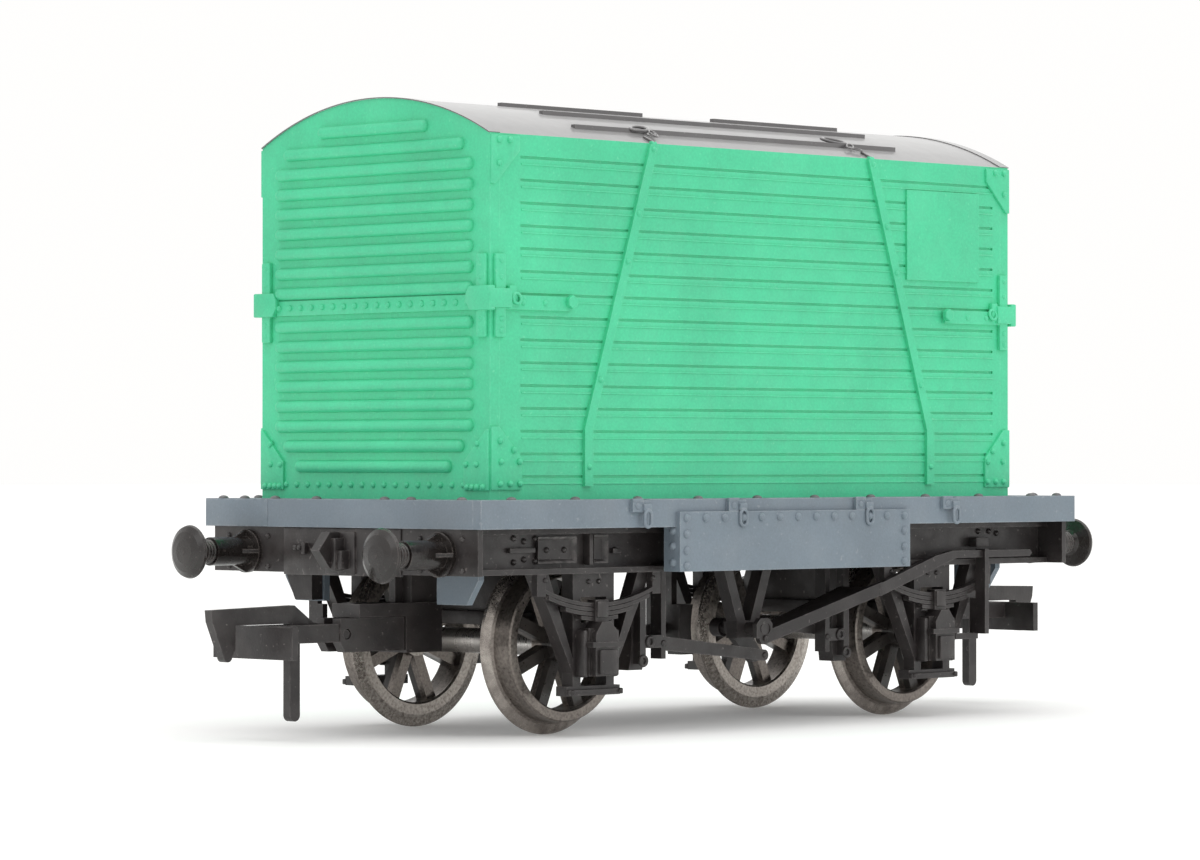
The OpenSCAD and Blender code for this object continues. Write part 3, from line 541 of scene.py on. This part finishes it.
bpy.ops.mesh.primitive_torus_add(major_radius=0.62 * MM, minor_radius=0.13 * MM, major_segments=24,
                                 minor_segments=8)
link = bpy.context.object
bpy.ops.object.mode_set(mode="EDIT")
bpy.ops.mesh.select_all(action="SELECT")
bpy.ops.transform.resize(value=(1.75, 0.75, 1))
bpy.ops.object.mode_set(mode="OBJECT")
bpy.ops.object.shade_smooth()
# Each link's place on the roof, its turn in degrees and its size against the largest.
LINKS = ((-12.3, -11.2, 12, 1.0), (-11.5, -12.0, 70, 0.62), (-11.9, -12.2, 20, 0.5),
         (11.2, -10.7, -22, 1.0), (12.1, -11.7, 40, 0.62), (12.3, -12.2, -30, 0.5))
LINK_LIFT = 0.32 * MM
link_places = [on_load @ turn @ on_roof(x * MM, y * MM, LINK_LIFT)
               @ Matrix.Rotation(math.radians(spin), 4, "Z") @ Matrix.Scale(size, 4)
               for turn in half_turns for x, y, spin, size in LINKS]
roof_links = copies(link, "container_roof_links", link_places)
settle(roof_links, "container", roof_grey)

eave_hook = plate("eave_hook", (-0.26 * MM, -0.32 * MM, -0.8 * MM), (0.26 * MM, 0.15 * MM, 0.16 * MM),
                  [((0, -0.32 * MM, 0), (0, -1, 0.8))], bevel=0.06 * MM)
eave_wire = plate("eave_wire", (-0.1 * MM, -0.2 * MM, 0.02 * MM), (0.1 * MM, 1.1 * MM, 0.22 * MM),
                  [((0, 1.1 * MM, 0), (0, 1, 0.4))], bevel=0.06 * MM)
eave_wire.data.transform(Matrix.Rotation(math.radians(24), 4, "X"))
hook_places = [on_load @ turn @ Matrix.Translation((end * STRAP_TOP[0], edge_y, eave))
               for turn in half_turns for end in (-1, 1)]
eave_wires = copies(eave_wire, "container_eave_wires", hook_places)
settle(eave_wires, "container", roof_grey)
eave_hooks = copies(eave_hook, "container_eave_hooks", hook_places)
settle(eave_hooks, "container", container_green)

# ---------------------------------------------------------------- Deck
# The deck and its rails are one grey plastic moulding with a satin spray. Low
# round studs stand along the top of the rails, over the real wagon's rail bolts.
deck_grey = finish_material(
    "deck_grey", paint_tree,
    {"Colour": (0.168, 0.208, 0.246, 1), "Worn And Highlight Colour": (0.40, 0.43, 0.46, 1), "Dust": 0.18,
     "Dust Colour": (0.50, 0.50, 0.50, 1), "Gloss Low": 0.42, "Gloss High": 0.58, "Wear And Highlight": 0.65}, bump=0.025)
dress(deck_grey, "deck_floor", "side_rail_right", "side_rail_left", "end_rail_rear", "end_rail_front",
      "chain_box_right", "chain_box_left", "lashing_cleats", "body_clips")
deck_low, deck_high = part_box("side_rail_right")[0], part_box("side_rail_left")[1]
deck_top = deck_high.z
SIDE_STUDS, STUD_PITCH, FIRST_STUD, SIDE_STUD_INSET = 10, 6.8 * MM, -30.9 * MM, 1.0 * MM
END_STUDS, END_STUD_INSET = (14.4, 11.8, 8.1, 3.2, -4.7, -7.7, -13.35), 0.5 * MM
stud_places = []
for turn in half_turns:
    for step in range(SIDE_STUDS):
        stud_places.append(turn @ Matrix.Translation(
            (step * STUD_PITCH + FIRST_STUD, deck_low.y + SIDE_STUD_INSET, deck_top)))
    for y in END_STUDS:
        stud_places.append(turn @ Matrix.Translation((deck_low.x + END_STUD_INSET, y * MM, deck_top)))
stud_grey = finish_material(
    "stud_grey", paint_tree,
    {"Colour": (0.120, 0.112, 0.118, 1), "Worn And Highlight Colour": (0.34, 0.34, 0.35, 1), "Dust": 0.25,
     "Dust Colour": (0.42, 0.42, 0.42, 1), "Gloss Low": 0.36, "Gloss High": 0.5, "Wear And Highlight": 0.6})
deck_studs = copies(dome(0.42 * MM, 0.24 * MM), "deck_studs", stud_places)
settle(deck_studs, "wagon", stud_grey)

# The end rails' left quarters lap a hair over the rest.
rail_lap = plate("rail_lap", (deck_low.x - 0.04 * MM, 8.45 * MM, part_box("end_rail_rear")[0].z + 0.03 * MM),
                 (deck_low.x + 0.1 * MM, deck_high.y - 0.05 * MM, deck_top - 0.04 * MM), bevel=0.02 * MM)
rail_laps = copies(rail_lap, "end_rail_laps", half_turns)
settle(rail_laps, "wagon", deck_grey)

# ---------------------------------------------------------------- Chain boxes
# A flat steel box hangs on each side rail for the lashing chains, with a row of
# rivets along its top and down both ends. A shackle hangs from each eye plate.
box_low, box_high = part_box("chain_box_right")
box_face = box_low.y
TOP_RIVETS, RIVET_INSET, TOP_RIVET_LEVEL = 13, 0.75 * MM, 17.0 * MM
rivet_pitch = (box_high.x - box_low.x - 2 * RIVET_INSET) / (TOP_RIVETS - 1)
rivet_spots = [(box_low.x + RIVET_INSET + step * rivet_pitch, TOP_RIVET_LEVEL) for step in range(TOP_RIVETS)]
rivet_spots += [(x, level * MM) for x in (box_low.x + RIVET_INSET, box_high.x - RIVET_INSET)
                for level in (15.75, 14.45, 13.25)]
rivet_places = [turn @ Matrix.Translation((x, box_face, level)) @ out_of_side for turn in half_turns
                for x, level in rivet_spots]
out_of_front = Matrix.Rotation(math.pi / 2, 4, "Y")
rivet_places += [turn @ Matrix.Translation((x, box_face + RIVET_INSET, level * MM)) @ out_of_box
                 for turn in half_turns
                 for x, out_of_box in ((box_low.x, out_of_end), (box_high.x, out_of_front))
                 for level in (16.0, 14.8, 13.5)]
box_rivets = copies(dome(0.34 * MM, 0.28 * MM), "chain_box_rivets", rivet_places)
settle(box_rivets, "wagon", deck_grey)

EYE_PLATES = (-18.2, -7.4, 7.6, 18.4)
cleat_places = [turn @ Matrix.Translation((x * MM, box_face, deck_top)) for turn in half_turns
                for x in EYE_PLATES]
pad_bolt = dome(0.28 * MM, 0.16 * MM)
pad_bolt.data.transform(Matrix.Translation((-0.42 * MM, 0.06 * MM, -0.55 * MM)) @ out_of_side)
pad_cap = plate("pad_cap", (-0.98 * MM, 0.0, -0.2 * MM), (0.2 * MM, 0.3 * MM, 0.06 * MM), bevel=0.06 * MM)
clasp = plate("clasp", (0.12 * MM, -0.16 * MM, -0.95 * MM), (0.98 * MM, 0.2 * MM, -0.35 * MM),
              bevel=0.12 * MM)
bpy.ops.mesh.primitive_torus_add(major_radius=0.36 * MM, minor_radius=0.14 * MM, major_segments=24,
                                 minor_segments=10, rotation=(math.pi / 2, 0, 0))
eye = bpy.context.object
bpy.ops.object.transform_apply(location=True, rotation=True, scale=True)
bpy.ops.object.mode_set(mode="EDIT")
bpy.ops.mesh.select_all(action="DESELECT")
mesh = bmesh.from_edit_mesh(eye.data)
for vert in mesh.verts:
    vert.select = vert.co.z < -0.01 * MM
mesh.select_flush_mode()
bmesh.update_edit_mesh(eye.data)
bpy.ops.transform.translate(value=(0, 0, -0.55 * MM))
bpy.ops.object.mode_set(mode="OBJECT")
eye.data.transform(Matrix.Translation((0.55 * MM, -0.1 * MM, -1.25 * MM)))
bpy.ops.object.shade_smooth()
shackle = join_pieces([pad_bolt, pad_cap, clasp, eye], "shackle")
shackles = copies(shackle, "lashing_shackles", cleat_places)
settle(shackles, "wagon", deck_grey)

# ---------------------------------------------------------------- Underframe
# The chassis is one black plastic moulding, warm black with a satin skin and a
# little dust. The solebars carry cast plates, label frames and bolt heads.
# Its pale edge colour is partly wear and partly a painted highlight on the black.
frame_black = finish_material(
    "frame_black", paint_tree,
    {"Colour": (0.020, 0.0165, 0.0165, 1), "Worn And Highlight Colour": (0.15, 0.135, 0.13, 1), "Dust": 0.42,
     "Dust Colour": (0.24, 0.215, 0.205, 1), "Grain Scale": 4200.0, "Gloss Low": 0.30, "Gloss High": 0.52,
     "Wear And Highlight": 0.6}, bump=0.03)
BLACK_MOULDINGS = ("underfloor", "solebar_", "headstock_", "draw_hooks", "coupling_", "axle_guard",
                   "axlebox_", "leaf_spring_", "v_hangers", "brake_", "push_rods")
dress(frame_black, *[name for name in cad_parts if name.startswith(BLACK_MOULDINGS)])
FLANGE_REACH = 1.0 * MM
web_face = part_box("solebar_right")[0].y + FLANGE_REACH
web_bolts = ((-28.4, 15.55), (-27.3, 15.3), (-26.1, 15.5), (-28.4, 13.7), (-27.3, 13.9), (-26.1, 13.75),
             (-24.9, 14.6), (-23.0, 14.6), (26.2, 15.5), (27.6, 15.5), (28.6, 15.3), (-17.5, 14.5))
bolt_places = [turn @ Matrix.Translation((x * MM, web_face, level * MM)) @ out_of_side
               for turn in half_turns for x, level in web_bolts]
solebar_bolts = copies(dome(0.26 * MM, 0.26 * MM, 8), "solebar_bolts", bolt_places)
settle(solebar_bolts, "wagon", frame_black)


def frame_ring(name, low, high, width, depth):
    """A flat rectangular frame on the solebar's face, made from a plate by an inset and a sunk middle."""
    piece = plate(name, (low[0], web_face - depth, low[1]), (high[0], web_face + 0.1 * MM, high[1]), bevel=0)
    bpy.ops.object.mode_set(mode="EDIT")
    bpy.ops.mesh.select_all(action="DESELECT")
    mesh = bmesh.from_edit_mesh(piece.data)
    front = min(mesh.faces, key=lambda face: face.calc_center_median().y)
    front.select = True
    bmesh.update_edit_mesh(piece.data)
    bpy.ops.mesh.inset(thickness=width)
    bpy.ops.transform.translate(value=(0, 0.95 * depth, 0))
    bpy.ops.mesh.select_all(action="SELECT")
    bpy.ops.mesh.bevel(offset=0.05 * MM, segments=1, affect="EDGES")
    bpy.ops.object.mode_set(mode="OBJECT")
    return piece


door_plate = frame_ring("door_plate", (-26.1 * MM, 13.55 * MM), (-21.9 * MM, 15.65 * MM), width=0.3 * MM,
                        depth=0.4 * MM)
label_frame = frame_ring("label_frame", (-20.1 * MM, 13.5 * MM), (-18.5 * MM, 15.75 * MM), width=0.28 * MM,
                         depth=0.45 * MM)
label_leaf = plate("label_leaf", (-20.9 * MM, web_face - 0.75 * MM, 13.4 * MM),
                   (-20.5 * MM, web_face + 0.1 * MM, 15.8 * MM))
tie_bar = plate("tie_bar", (-29.1 * MM, web_face - 0.4 * MM, 14.42 * MM),
                (-26.4 * MM, web_face + 0.1 * MM, 14.8 * MM))
clip_bar = plate("clip_bar", (-17.9 * MM, web_face - 0.35 * MM, 14.25 * MM),
                 (-17.0 * MM, web_face + 0.1 * MM, 14.65 * MM))
stop_block = plate("stop_block", (25.0 * MM, web_face - 0.9 * MM, 14.2 * MM),
                   (26.6 * MM, web_face + 0.1 * MM, 15.0 * MM))
end_leaf = plate("end_leaf", (-33.9 * MM, web_face - 0.3 * MM, 14.0 * MM),
                 (-33.3 * MM, web_face + 0.1 * MM, 15.0 * MM))
solebar_set = join_pieces([door_plate, label_frame, label_leaf, tie_bar, clip_bar, stop_block, end_leaf],
                          "solebar_set")
solebar_plates = copies(solebar_set, "solebar_plates", half_turns)
settle(solebar_plates, "wagon", frame_black)

# ---------------------------------------------------------------- Headstocks
# The end beams carry a thin plate across the middle, with the draw hook's foot and
# block on it, a chain stop, four bolts round each buffer and two beside the hook.
beam_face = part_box("headstock_rear")[0].x
MIDDLE_PLATE, MIDDLE_HALF = 0.12 * MM, 6.8 * MM
middle_plate = plate("middle_plate", (beam_face - MIDDLE_PLATE, -MIDDLE_HALF, 12.58 * MM),
                     (beam_face + 0.2 * MM, MIDDLE_HALF, 16.25 * MM), bevel=0.04 * MM)
hook_block = plate("hook_block", (beam_face - 1.25 * MM, -0.55 * MM, 13.0 * MM),
                   (beam_face, 0.05 * MM, 15.5 * MM), bevel=0.08 * MM)
hook_step = plate("hook_step", (beam_face - 1.1 * MM, -1.1 * MM, 13.1 * MM),
                  (beam_face, -0.45 * MM, 14.55 * MM), bevel=0.08 * MM)
hook_foot = plate("hook_foot", (beam_face - 0.3 * MM, -1.7 * MM, 12.7 * MM),
                  (beam_face, 1.7 * MM, 16.0 * MM), bevel=0.06 * MM)
chain_stop = plate("chain_stop", (beam_face - 0.5 * MM, 3.9 * MM, 14.2 * MM),
                   (beam_face, 4.3 * MM, 15.1 * MM), bevel=0.06 * MM)
headstock_set = join_pieces([middle_plate, hook_block, hook_step, hook_foot, chain_stop], "headstock_set")
headstock_plates = copies(headstock_set, "headstock_plates", half_turns)
settle(headstock_plates, "wagon", frame_black)

buffer_low, buffer_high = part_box("buffer_housing_rear_right")
buffer_middle = (buffer_low + buffer_high) / 2
beam_bolts = []
for side in (-1, 1):
    for dy, dz in ((2.3, 1.2), (2.3, -1.2), (-2.4, 1.2), (-2.4, -1.2)):
        beam_bolts.append((side * abs(buffer_middle.y) + dy * MM, buffer_middle.z + dz * MM))
beam_bolts += [(y * MM, 14.7 * MM) for y in (-5.4, -4.7, 4.9, 5.4)]
beam_bolt_places = []
for turn in half_turns:
    for y, level in beam_bolts:
        proud = MIDDLE_PLATE if abs(y) < MIDDLE_HALF else 0
        beam_bolt_places.append(turn @ Matrix.Translation((beam_face - proud, y, level)) @ out_of_end)
headstock_bolts = copies(dome(0.24 * MM, 0.24 * MM, 8), "headstock_bolts", beam_bolt_places)
settle(headstock_bolts, "wagon", frame_black)

# ---------------------------------------------------------------- Buffers
# Glossier black mouldings: a socket with webs, a coil of spring round the shank
# where it shows, and a domed head with an oiled shine.
buffer_black = finish_material(
    "buffer_black", paint_tree,
    {"Colour": (0.014, 0.011, 0.010, 1), "Worn And Highlight Colour": (0.20, 0.17, 0.16, 1), "Dust": 0.22,
     "Dust Colour": (0.26, 0.23, 0.21, 1), "Gloss Low": 0.14, "Gloss High": 0.32, "Wear And Highlight": 0.6}, bump=0.025)
dress(buffer_black, *[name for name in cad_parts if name.startswith("buffer_")])
bpy.ops.mesh.primitive_torus_add(major_radius=0.80 * MM, minor_radius=0.17 * MM, major_segments=24,
                                 minor_segments=8)
spring_ring = bpy.context.object
bpy.ops.object.shade_smooth()
SPRING_TURNS, SPRING_PITCH, SPRING_START = 4, 0.29 * MM, 0.1 * MM
ring_places = []
for end in (-1, 1):
    for side in (-1, 1):
        for step in range(SPRING_TURNS):
            from_middle = abs(buffer_low.x) + SPRING_START + step * SPRING_PITCH
            ring_places.append(Matrix.Translation(
                (end * from_middle, side * abs(buffer_middle.y), buffer_middle.z))
                @ Matrix.Rotation(math.pi / 2, 4, "Y"))
buffer_springs = copies(spring_ring, "buffer_springs", ring_places)
settle(buffer_springs, "wagon", buffer_black)

# ---------------------------------------------------------------- Wheels and axles
# Blackened metal wheels with a grainy cast rim, a brighter flange and back face
# and spokes painted near black as shade, on a plain turned steel axle. A steel weight lies under the deck.
axle_low, axle_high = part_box("axle_front")
axle_x = (axle_low.x + axle_high.x) / 2
axle_z = (axle_low.z + axle_high.z) / 2
wheel_tree, wheel_in, wheel_out = new_group(
    "wheel_metal",
    [("Axle X", "NodeSocketFloat", 0.02), ("Axle Z", "NodeSocketFloat", 0.007),
     ("Middle Y", "NodeSocketFloat", 0.0085)],
    [("Colour", "NodeSocketColor"), ("Roughness", "NodeSocketFloat"), ("Height", "NodeSocketFloat"),
     ("Metal", "NodeSocketFloat")])
where = wheel_tree.nodes.new("ShaderNodeTexCoord").outputs["Object"]
split = wheel_tree.nodes.new("ShaderNodeSeparateXYZ")
wheel_tree.links.new(where, split.inputs[0])
from_axle_x = math_node(wheel_tree, "SUBTRACT", math_node(wheel_tree, "ABSOLUTE", split.outputs["X"]),
                        wheel_in.outputs["Axle X"])
from_axle_z = math_node(wheel_tree, "SUBTRACT", split.outputs["Z"], wheel_in.outputs["Axle Z"])
reach = math_node(wheel_tree, "SQRT", math_node(
    wheel_tree, "ADD", math_node(wheel_tree, "MULTIPLY", from_axle_x, from_axle_x),
    math_node(wheel_tree, "MULTIPLY", from_axle_z, from_axle_z)))
from_back = math_node(wheel_tree, "SUBTRACT", math_node(wheel_tree, "ABSOLUTE", split.outputs["Y"]),
                      wheel_in.outputs["Middle Y"])
# Masks by place, each with a soft edge: the wheel's inner half, its back face, the rim and the flange.
INNER_HALF, BACK_FACE = (0.05 * MM, -0.05 * MM), (-1.05 * MM, -1.15 * MM)
RIM_EDGE, FLANGE_EDGE = (5.14 * MM, 5.22 * MM), (6.32 * MM, 6.42 * MM)
back_side = between(wheel_tree, from_back, *INNER_HALF)
back_face = between(wheel_tree, from_back, *BACK_FACE)
rim = math_node(wheel_tree, "MAXIMUM", between(wheel_tree, reach, *RIM_EDGE), back_side)
flange = between(wheel_tree, reach, *FLANGE_EDGE)
pits = noise(wheel_tree, 4200, 4, where)
cast = noise(wheel_tree, 900, 5, where)
rim_colour = blend_colour(wheel_tree, between(wheel_tree, pits, 0.30, 0.74), (0.125, 0.109, 0.098, 1),
                          (0.27, 0.240, 0.216, 1))
flange_colour = blend_colour(wheel_tree, between(wheel_tree, cast, 0.3, 0.7), (0.18, 0.158, 0.144, 1),
                             (0.38, 0.345, 0.315, 1))
outer_colour = blend_colour(wheel_tree, flange, rim_colour, flange_colour)
back_colour = blend_colour(wheel_tree, between(wheel_tree, pits, 0.34, 0.66), (0.25, 0.222, 0.20, 1),
                           (0.50, 0.46, 0.42, 1))
metal_colour = blend_colour(wheel_tree, back_face, outer_colour, back_colour)
metal_colour = blend_colour(wheel_tree, between(wheel_tree, cast, 0.56, 0.76, 0, 0.2), metal_colour,
                            (0.36, 0.32, 0.285, 1))
# Painted shade: the spokes are the same metal as the rim, but are coloured near black and non-metal as if in
# shadow.
spoke_painted_shade = blend_colour(wheel_tree, between(wheel_tree, cast, 0.35, 0.7), (0.026, 0.022, 0.020, 1),
                            (0.055, 0.048, 0.043, 1))
wheel_tree.links.new(blend_colour(wheel_tree, rim, spoke_painted_shade, metal_colour), wheel_out.inputs["Colour"])
rim_rough = between(wheel_tree, pits, 0.3, 0.7, 0.26, 0.42)
smoother = math_node(wheel_tree, "MULTIPLY", flange, 0.1)
wheel_tree.links.new(math_node(wheel_tree, "SUBTRACT", rim_rough, smoother), wheel_out.inputs["Roughness"])
wheel_tree.links.new(math_node(wheel_tree, "ADD", math_node(wheel_tree, "MULTIPLY", pits, 0.7),
                               math_node(wheel_tree, "MULTIPLY", cast, 0.5)), wheel_out.inputs["Height"])
wheel_tree.links.new(math_node(wheel_tree, "MULTIPLY", rim, 0.9), wheel_out.inputs["Metal"])
wheel_low, wheel_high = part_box("wheel_rear_left")
wheel_metal = finish_material("wheel_metal", wheel_tree, {
    "Axle X": axle_x, "Axle Z": axle_z, "Middle Y": (wheel_low.y + wheel_high.y) / 2}, bump=0.02)
wheel_metal_nodes = wheel_metal.node_tree.nodes
wheel_metal.node_tree.links.new(wheel_metal_nodes["Group"].outputs["Metal"],
                                wheel_metal_nodes["Principled BSDF"].inputs["Metallic"])
dress(wheel_metal, *[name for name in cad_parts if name.startswith("wheel_")])

steel_tree, steel_in, steel_out = new_group(
    "turned_steel", [("Colour", "NodeSocketColor", (0.5, 0.5, 0.5, 1)), ("Rough", "NodeSocketFloat", 0.3)],
    [("Colour", "NodeSocketColor"), ("Roughness", "NodeSocketFloat"), ("Height", "NodeSocketFloat")])
steel_where = steel_tree.nodes.new("ShaderNodeTexCoord").outputs["Object"]
stretch = steel_tree.nodes.new("ShaderNodeMapping")
stretch.inputs["Scale"].default_value = (0.15, 6, 0.15)
steel_tree.links.new(steel_where, stretch.inputs["Vector"])
turning = noise(steel_tree, 1200, 3, stretch.outputs["Vector"])
stain = noise(steel_tree, 260, 4, steel_where)
darkened = blend_colour(steel_tree, between(steel_tree, stain, 0.45, 0.75, 0, 0.5),
                        steel_in.outputs["Colour"], (0.20, 0.17, 0.15, 1))
steel_tree.links.new(blend_colour(steel_tree, between(steel_tree, turning, 0.3, 0.7, 0, 0.25), darkened,
                                  (0.28, 0.27, 0.26, 1)), steel_out.inputs["Colour"])
steel_tree.links.new(math_node(steel_tree, "ADD", between(steel_tree, turning, 0.3, 0.7, 0, 0.18),
                               steel_in.outputs["Rough"]), steel_out.inputs["Roughness"])
steel_tree.links.new(turning, steel_out.inputs["Height"])
axle_steel = finish_material("axle_steel", steel_tree, {"Colour": (0.56, 0.54, 0.52, 1), "Rough": 0.22},
                             bump=0.01, metallic=1.0)
dress(axle_steel, "axle_rear", "axle_front")
ballast_steel = finish_material("ballast_steel", steel_tree, {"Colour": (0.40, 0.40, 0.41, 1), "Rough": 0.35},
                                bump=0.01, metallic=1.0)
dress(ballast_steel, "ballast_weight")

# ---------------------------------------------------------------- Axle keepers
# Over each axle a box of black plastic hangs from the floor plate between the
# wheels, with a ledge along its foot that keeps the axle in its bearings.
FLOOR_PLATE, AXLE_CLEARANCE = 1.2 * MM, 0.35 * MM
wheel_back = wheel_low.y
keeper_foot = axle_high.z + AXLE_CLEARANCE
floor_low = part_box("underfloor")[1].z - FLOOR_PLATE
keeper_box = plate("keeper_box", (-axle_x - 1.2 * MM, -wheel_back + 0.9 * MM, keeper_foot + 0.8 * MM),
                   (-axle_x + 1.2 * MM, wheel_back - 0.9 * MM, floor_low), bevel=0.1 * MM)
keeper_ledge = plate("keeper_ledge", (-axle_x - 1.7 * MM, -wheel_back + 0.6 * MM, keeper_foot),
                     (-axle_x + 1.7 * MM, wheel_back - 0.6 * MM, keeper_foot + 1.1 * MM), bevel=0.12 * MM)
keeper_set = join_pieces([keeper_box, keeper_ledge], "keeper_set")
axle_keepers = copies(keeper_set, "axle_keepers", half_turns)
settle(axle_keepers, "wagon", frame_black)

# ---------------------------------------------------------------- Axleboxes and guards
# Each axlebox has a lid and runs between two slides in its guard. A buckle holds
# the spring's leaves, a tie bar joins the guard's feet, and bolts hold the legs.
guard_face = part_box("axle_guard_rear_right")[0].y
axlebox_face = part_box("axlebox_rear_right")[0].y
SLIDE_INNER, SLIDE_OUTER = 1.4 * MM, 1.95 * MM
slide_panels = [plate("slide_panel", (-axle_x + start, guard_face - 0.95 * MM, 4.7 * MM),
                      (-axle_x + stop, guard_face + 0.1 * MM, 8.4 * MM), bevel=0.2 * MM)
                for start, stop in ((-SLIDE_OUTER, -SLIDE_INNER), (SLIDE_INNER, SLIDE_OUTER))]
lid_face = plate("lid_face", (-axle_x - 0.9 * MM, axlebox_face - 0.14 * MM, 4.95 * MM),
                 (-axle_x + 0.9 * MM, axlebox_face + 0.25 * MM, 6.85 * MM), bevel=0.12 * MM)
buckle_top = plate("buckle_top", (-axle_x - 0.6 * MM, guard_face - 1.1 * MM, 9.3 * MM),
                   (-axle_x + 0.6 * MM, guard_face - 0.8 * MM, 10.6 * MM), bevel=0.1 * MM)
tie_foot = plate("tie_foot", (-axle_x - 2.95 * MM, guard_face - 0.35 * MM, 3.3 * MM),
                 (-axle_x + 2.95 * MM, guard_face + 0.05 * MM, 3.75 * MM), bevel=0.08 * MM)
guard_set = join_pieces([*slide_panels, lid_face, buckle_top, tie_foot], "guard_set")
guard_plates = copies(guard_set, "axlebox_plates", mirrors)
settle(guard_plates, "wagon", frame_black)

# Pairs of bolts about the axle's middle, as (half their distance, level, how far proud of the guard).
GUARD_BOLTS = ((0.55, 12.1, 0.0), (2.6, 3.55, 0.35), (1.85, 9.2, 0.0), (5.9, 12.3, 0.7))
guard_bolt_places = [mirror @ Matrix.Translation(
    (-axle_x + side * across * MM, guard_face - proud * MM, level * MM)) @ out_of_side
    for mirror in mirrors for across, level, proud in GUARD_BOLTS for side in (-1, 1)]
guard_bolt_heads = copies(dome(0.22 * MM, 0.2 * MM, 8), "axle_guard_bolts", guard_bolt_places)
settle(guard_bolt_heads, "wagon", frame_black)

# ---------------------------------------------------------------- Brake gear
# Round pins, some with a raised rim, join the rods, the hangers and the crank.
# Like the rest of the brake gear, they are part of the black moulding.
pin_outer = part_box("push_rods")[0].y
bpy.ops.mesh.primitive_torus_add(major_radius=0.36 * MM, minor_radius=0.16 * MM, major_segments=20,
                                 minor_segments=8)
pin_eye = bpy.context.object
bpy.ops.object.shade_smooth()
shoe_x = axle_x - 7.5 * MM
# Each eye's distance from its brake shoe towards the middle, and its level.
PIN_EYES = ((1.25, 7.1), (0.48, 5.6))
eye_places = [turn @ Matrix.Translation((end * (shoe_x - inset * MM), pin_outer - 0.02 * MM, level * MM))
              @ out_of_side for turn in half_turns for inset, level in PIN_EYES for end in (-1, 1)]
pin_eyes = copies(pin_eye, "brake_pin_eyes", eye_places)
settle(pin_eyes, "wagon", frame_black)
pin_places = [turn @ Matrix.Translation((x, y, level * MM)) @ out_of_side for turn in half_turns
              for x, y, level in ((2.1 * MM, pin_outer, 5.65), (-9.7 * MM, pin_outer, 6.95),
                                  (9.7 * MM, pin_outer, 6.95), (0.0, -12.55 * MM, 7.15))]
brake_pins = copies(dome(0.27 * MM, 0.14 * MM, 10), "brake_pins", pin_places)
settle(brake_pins, "wagon", frame_black)
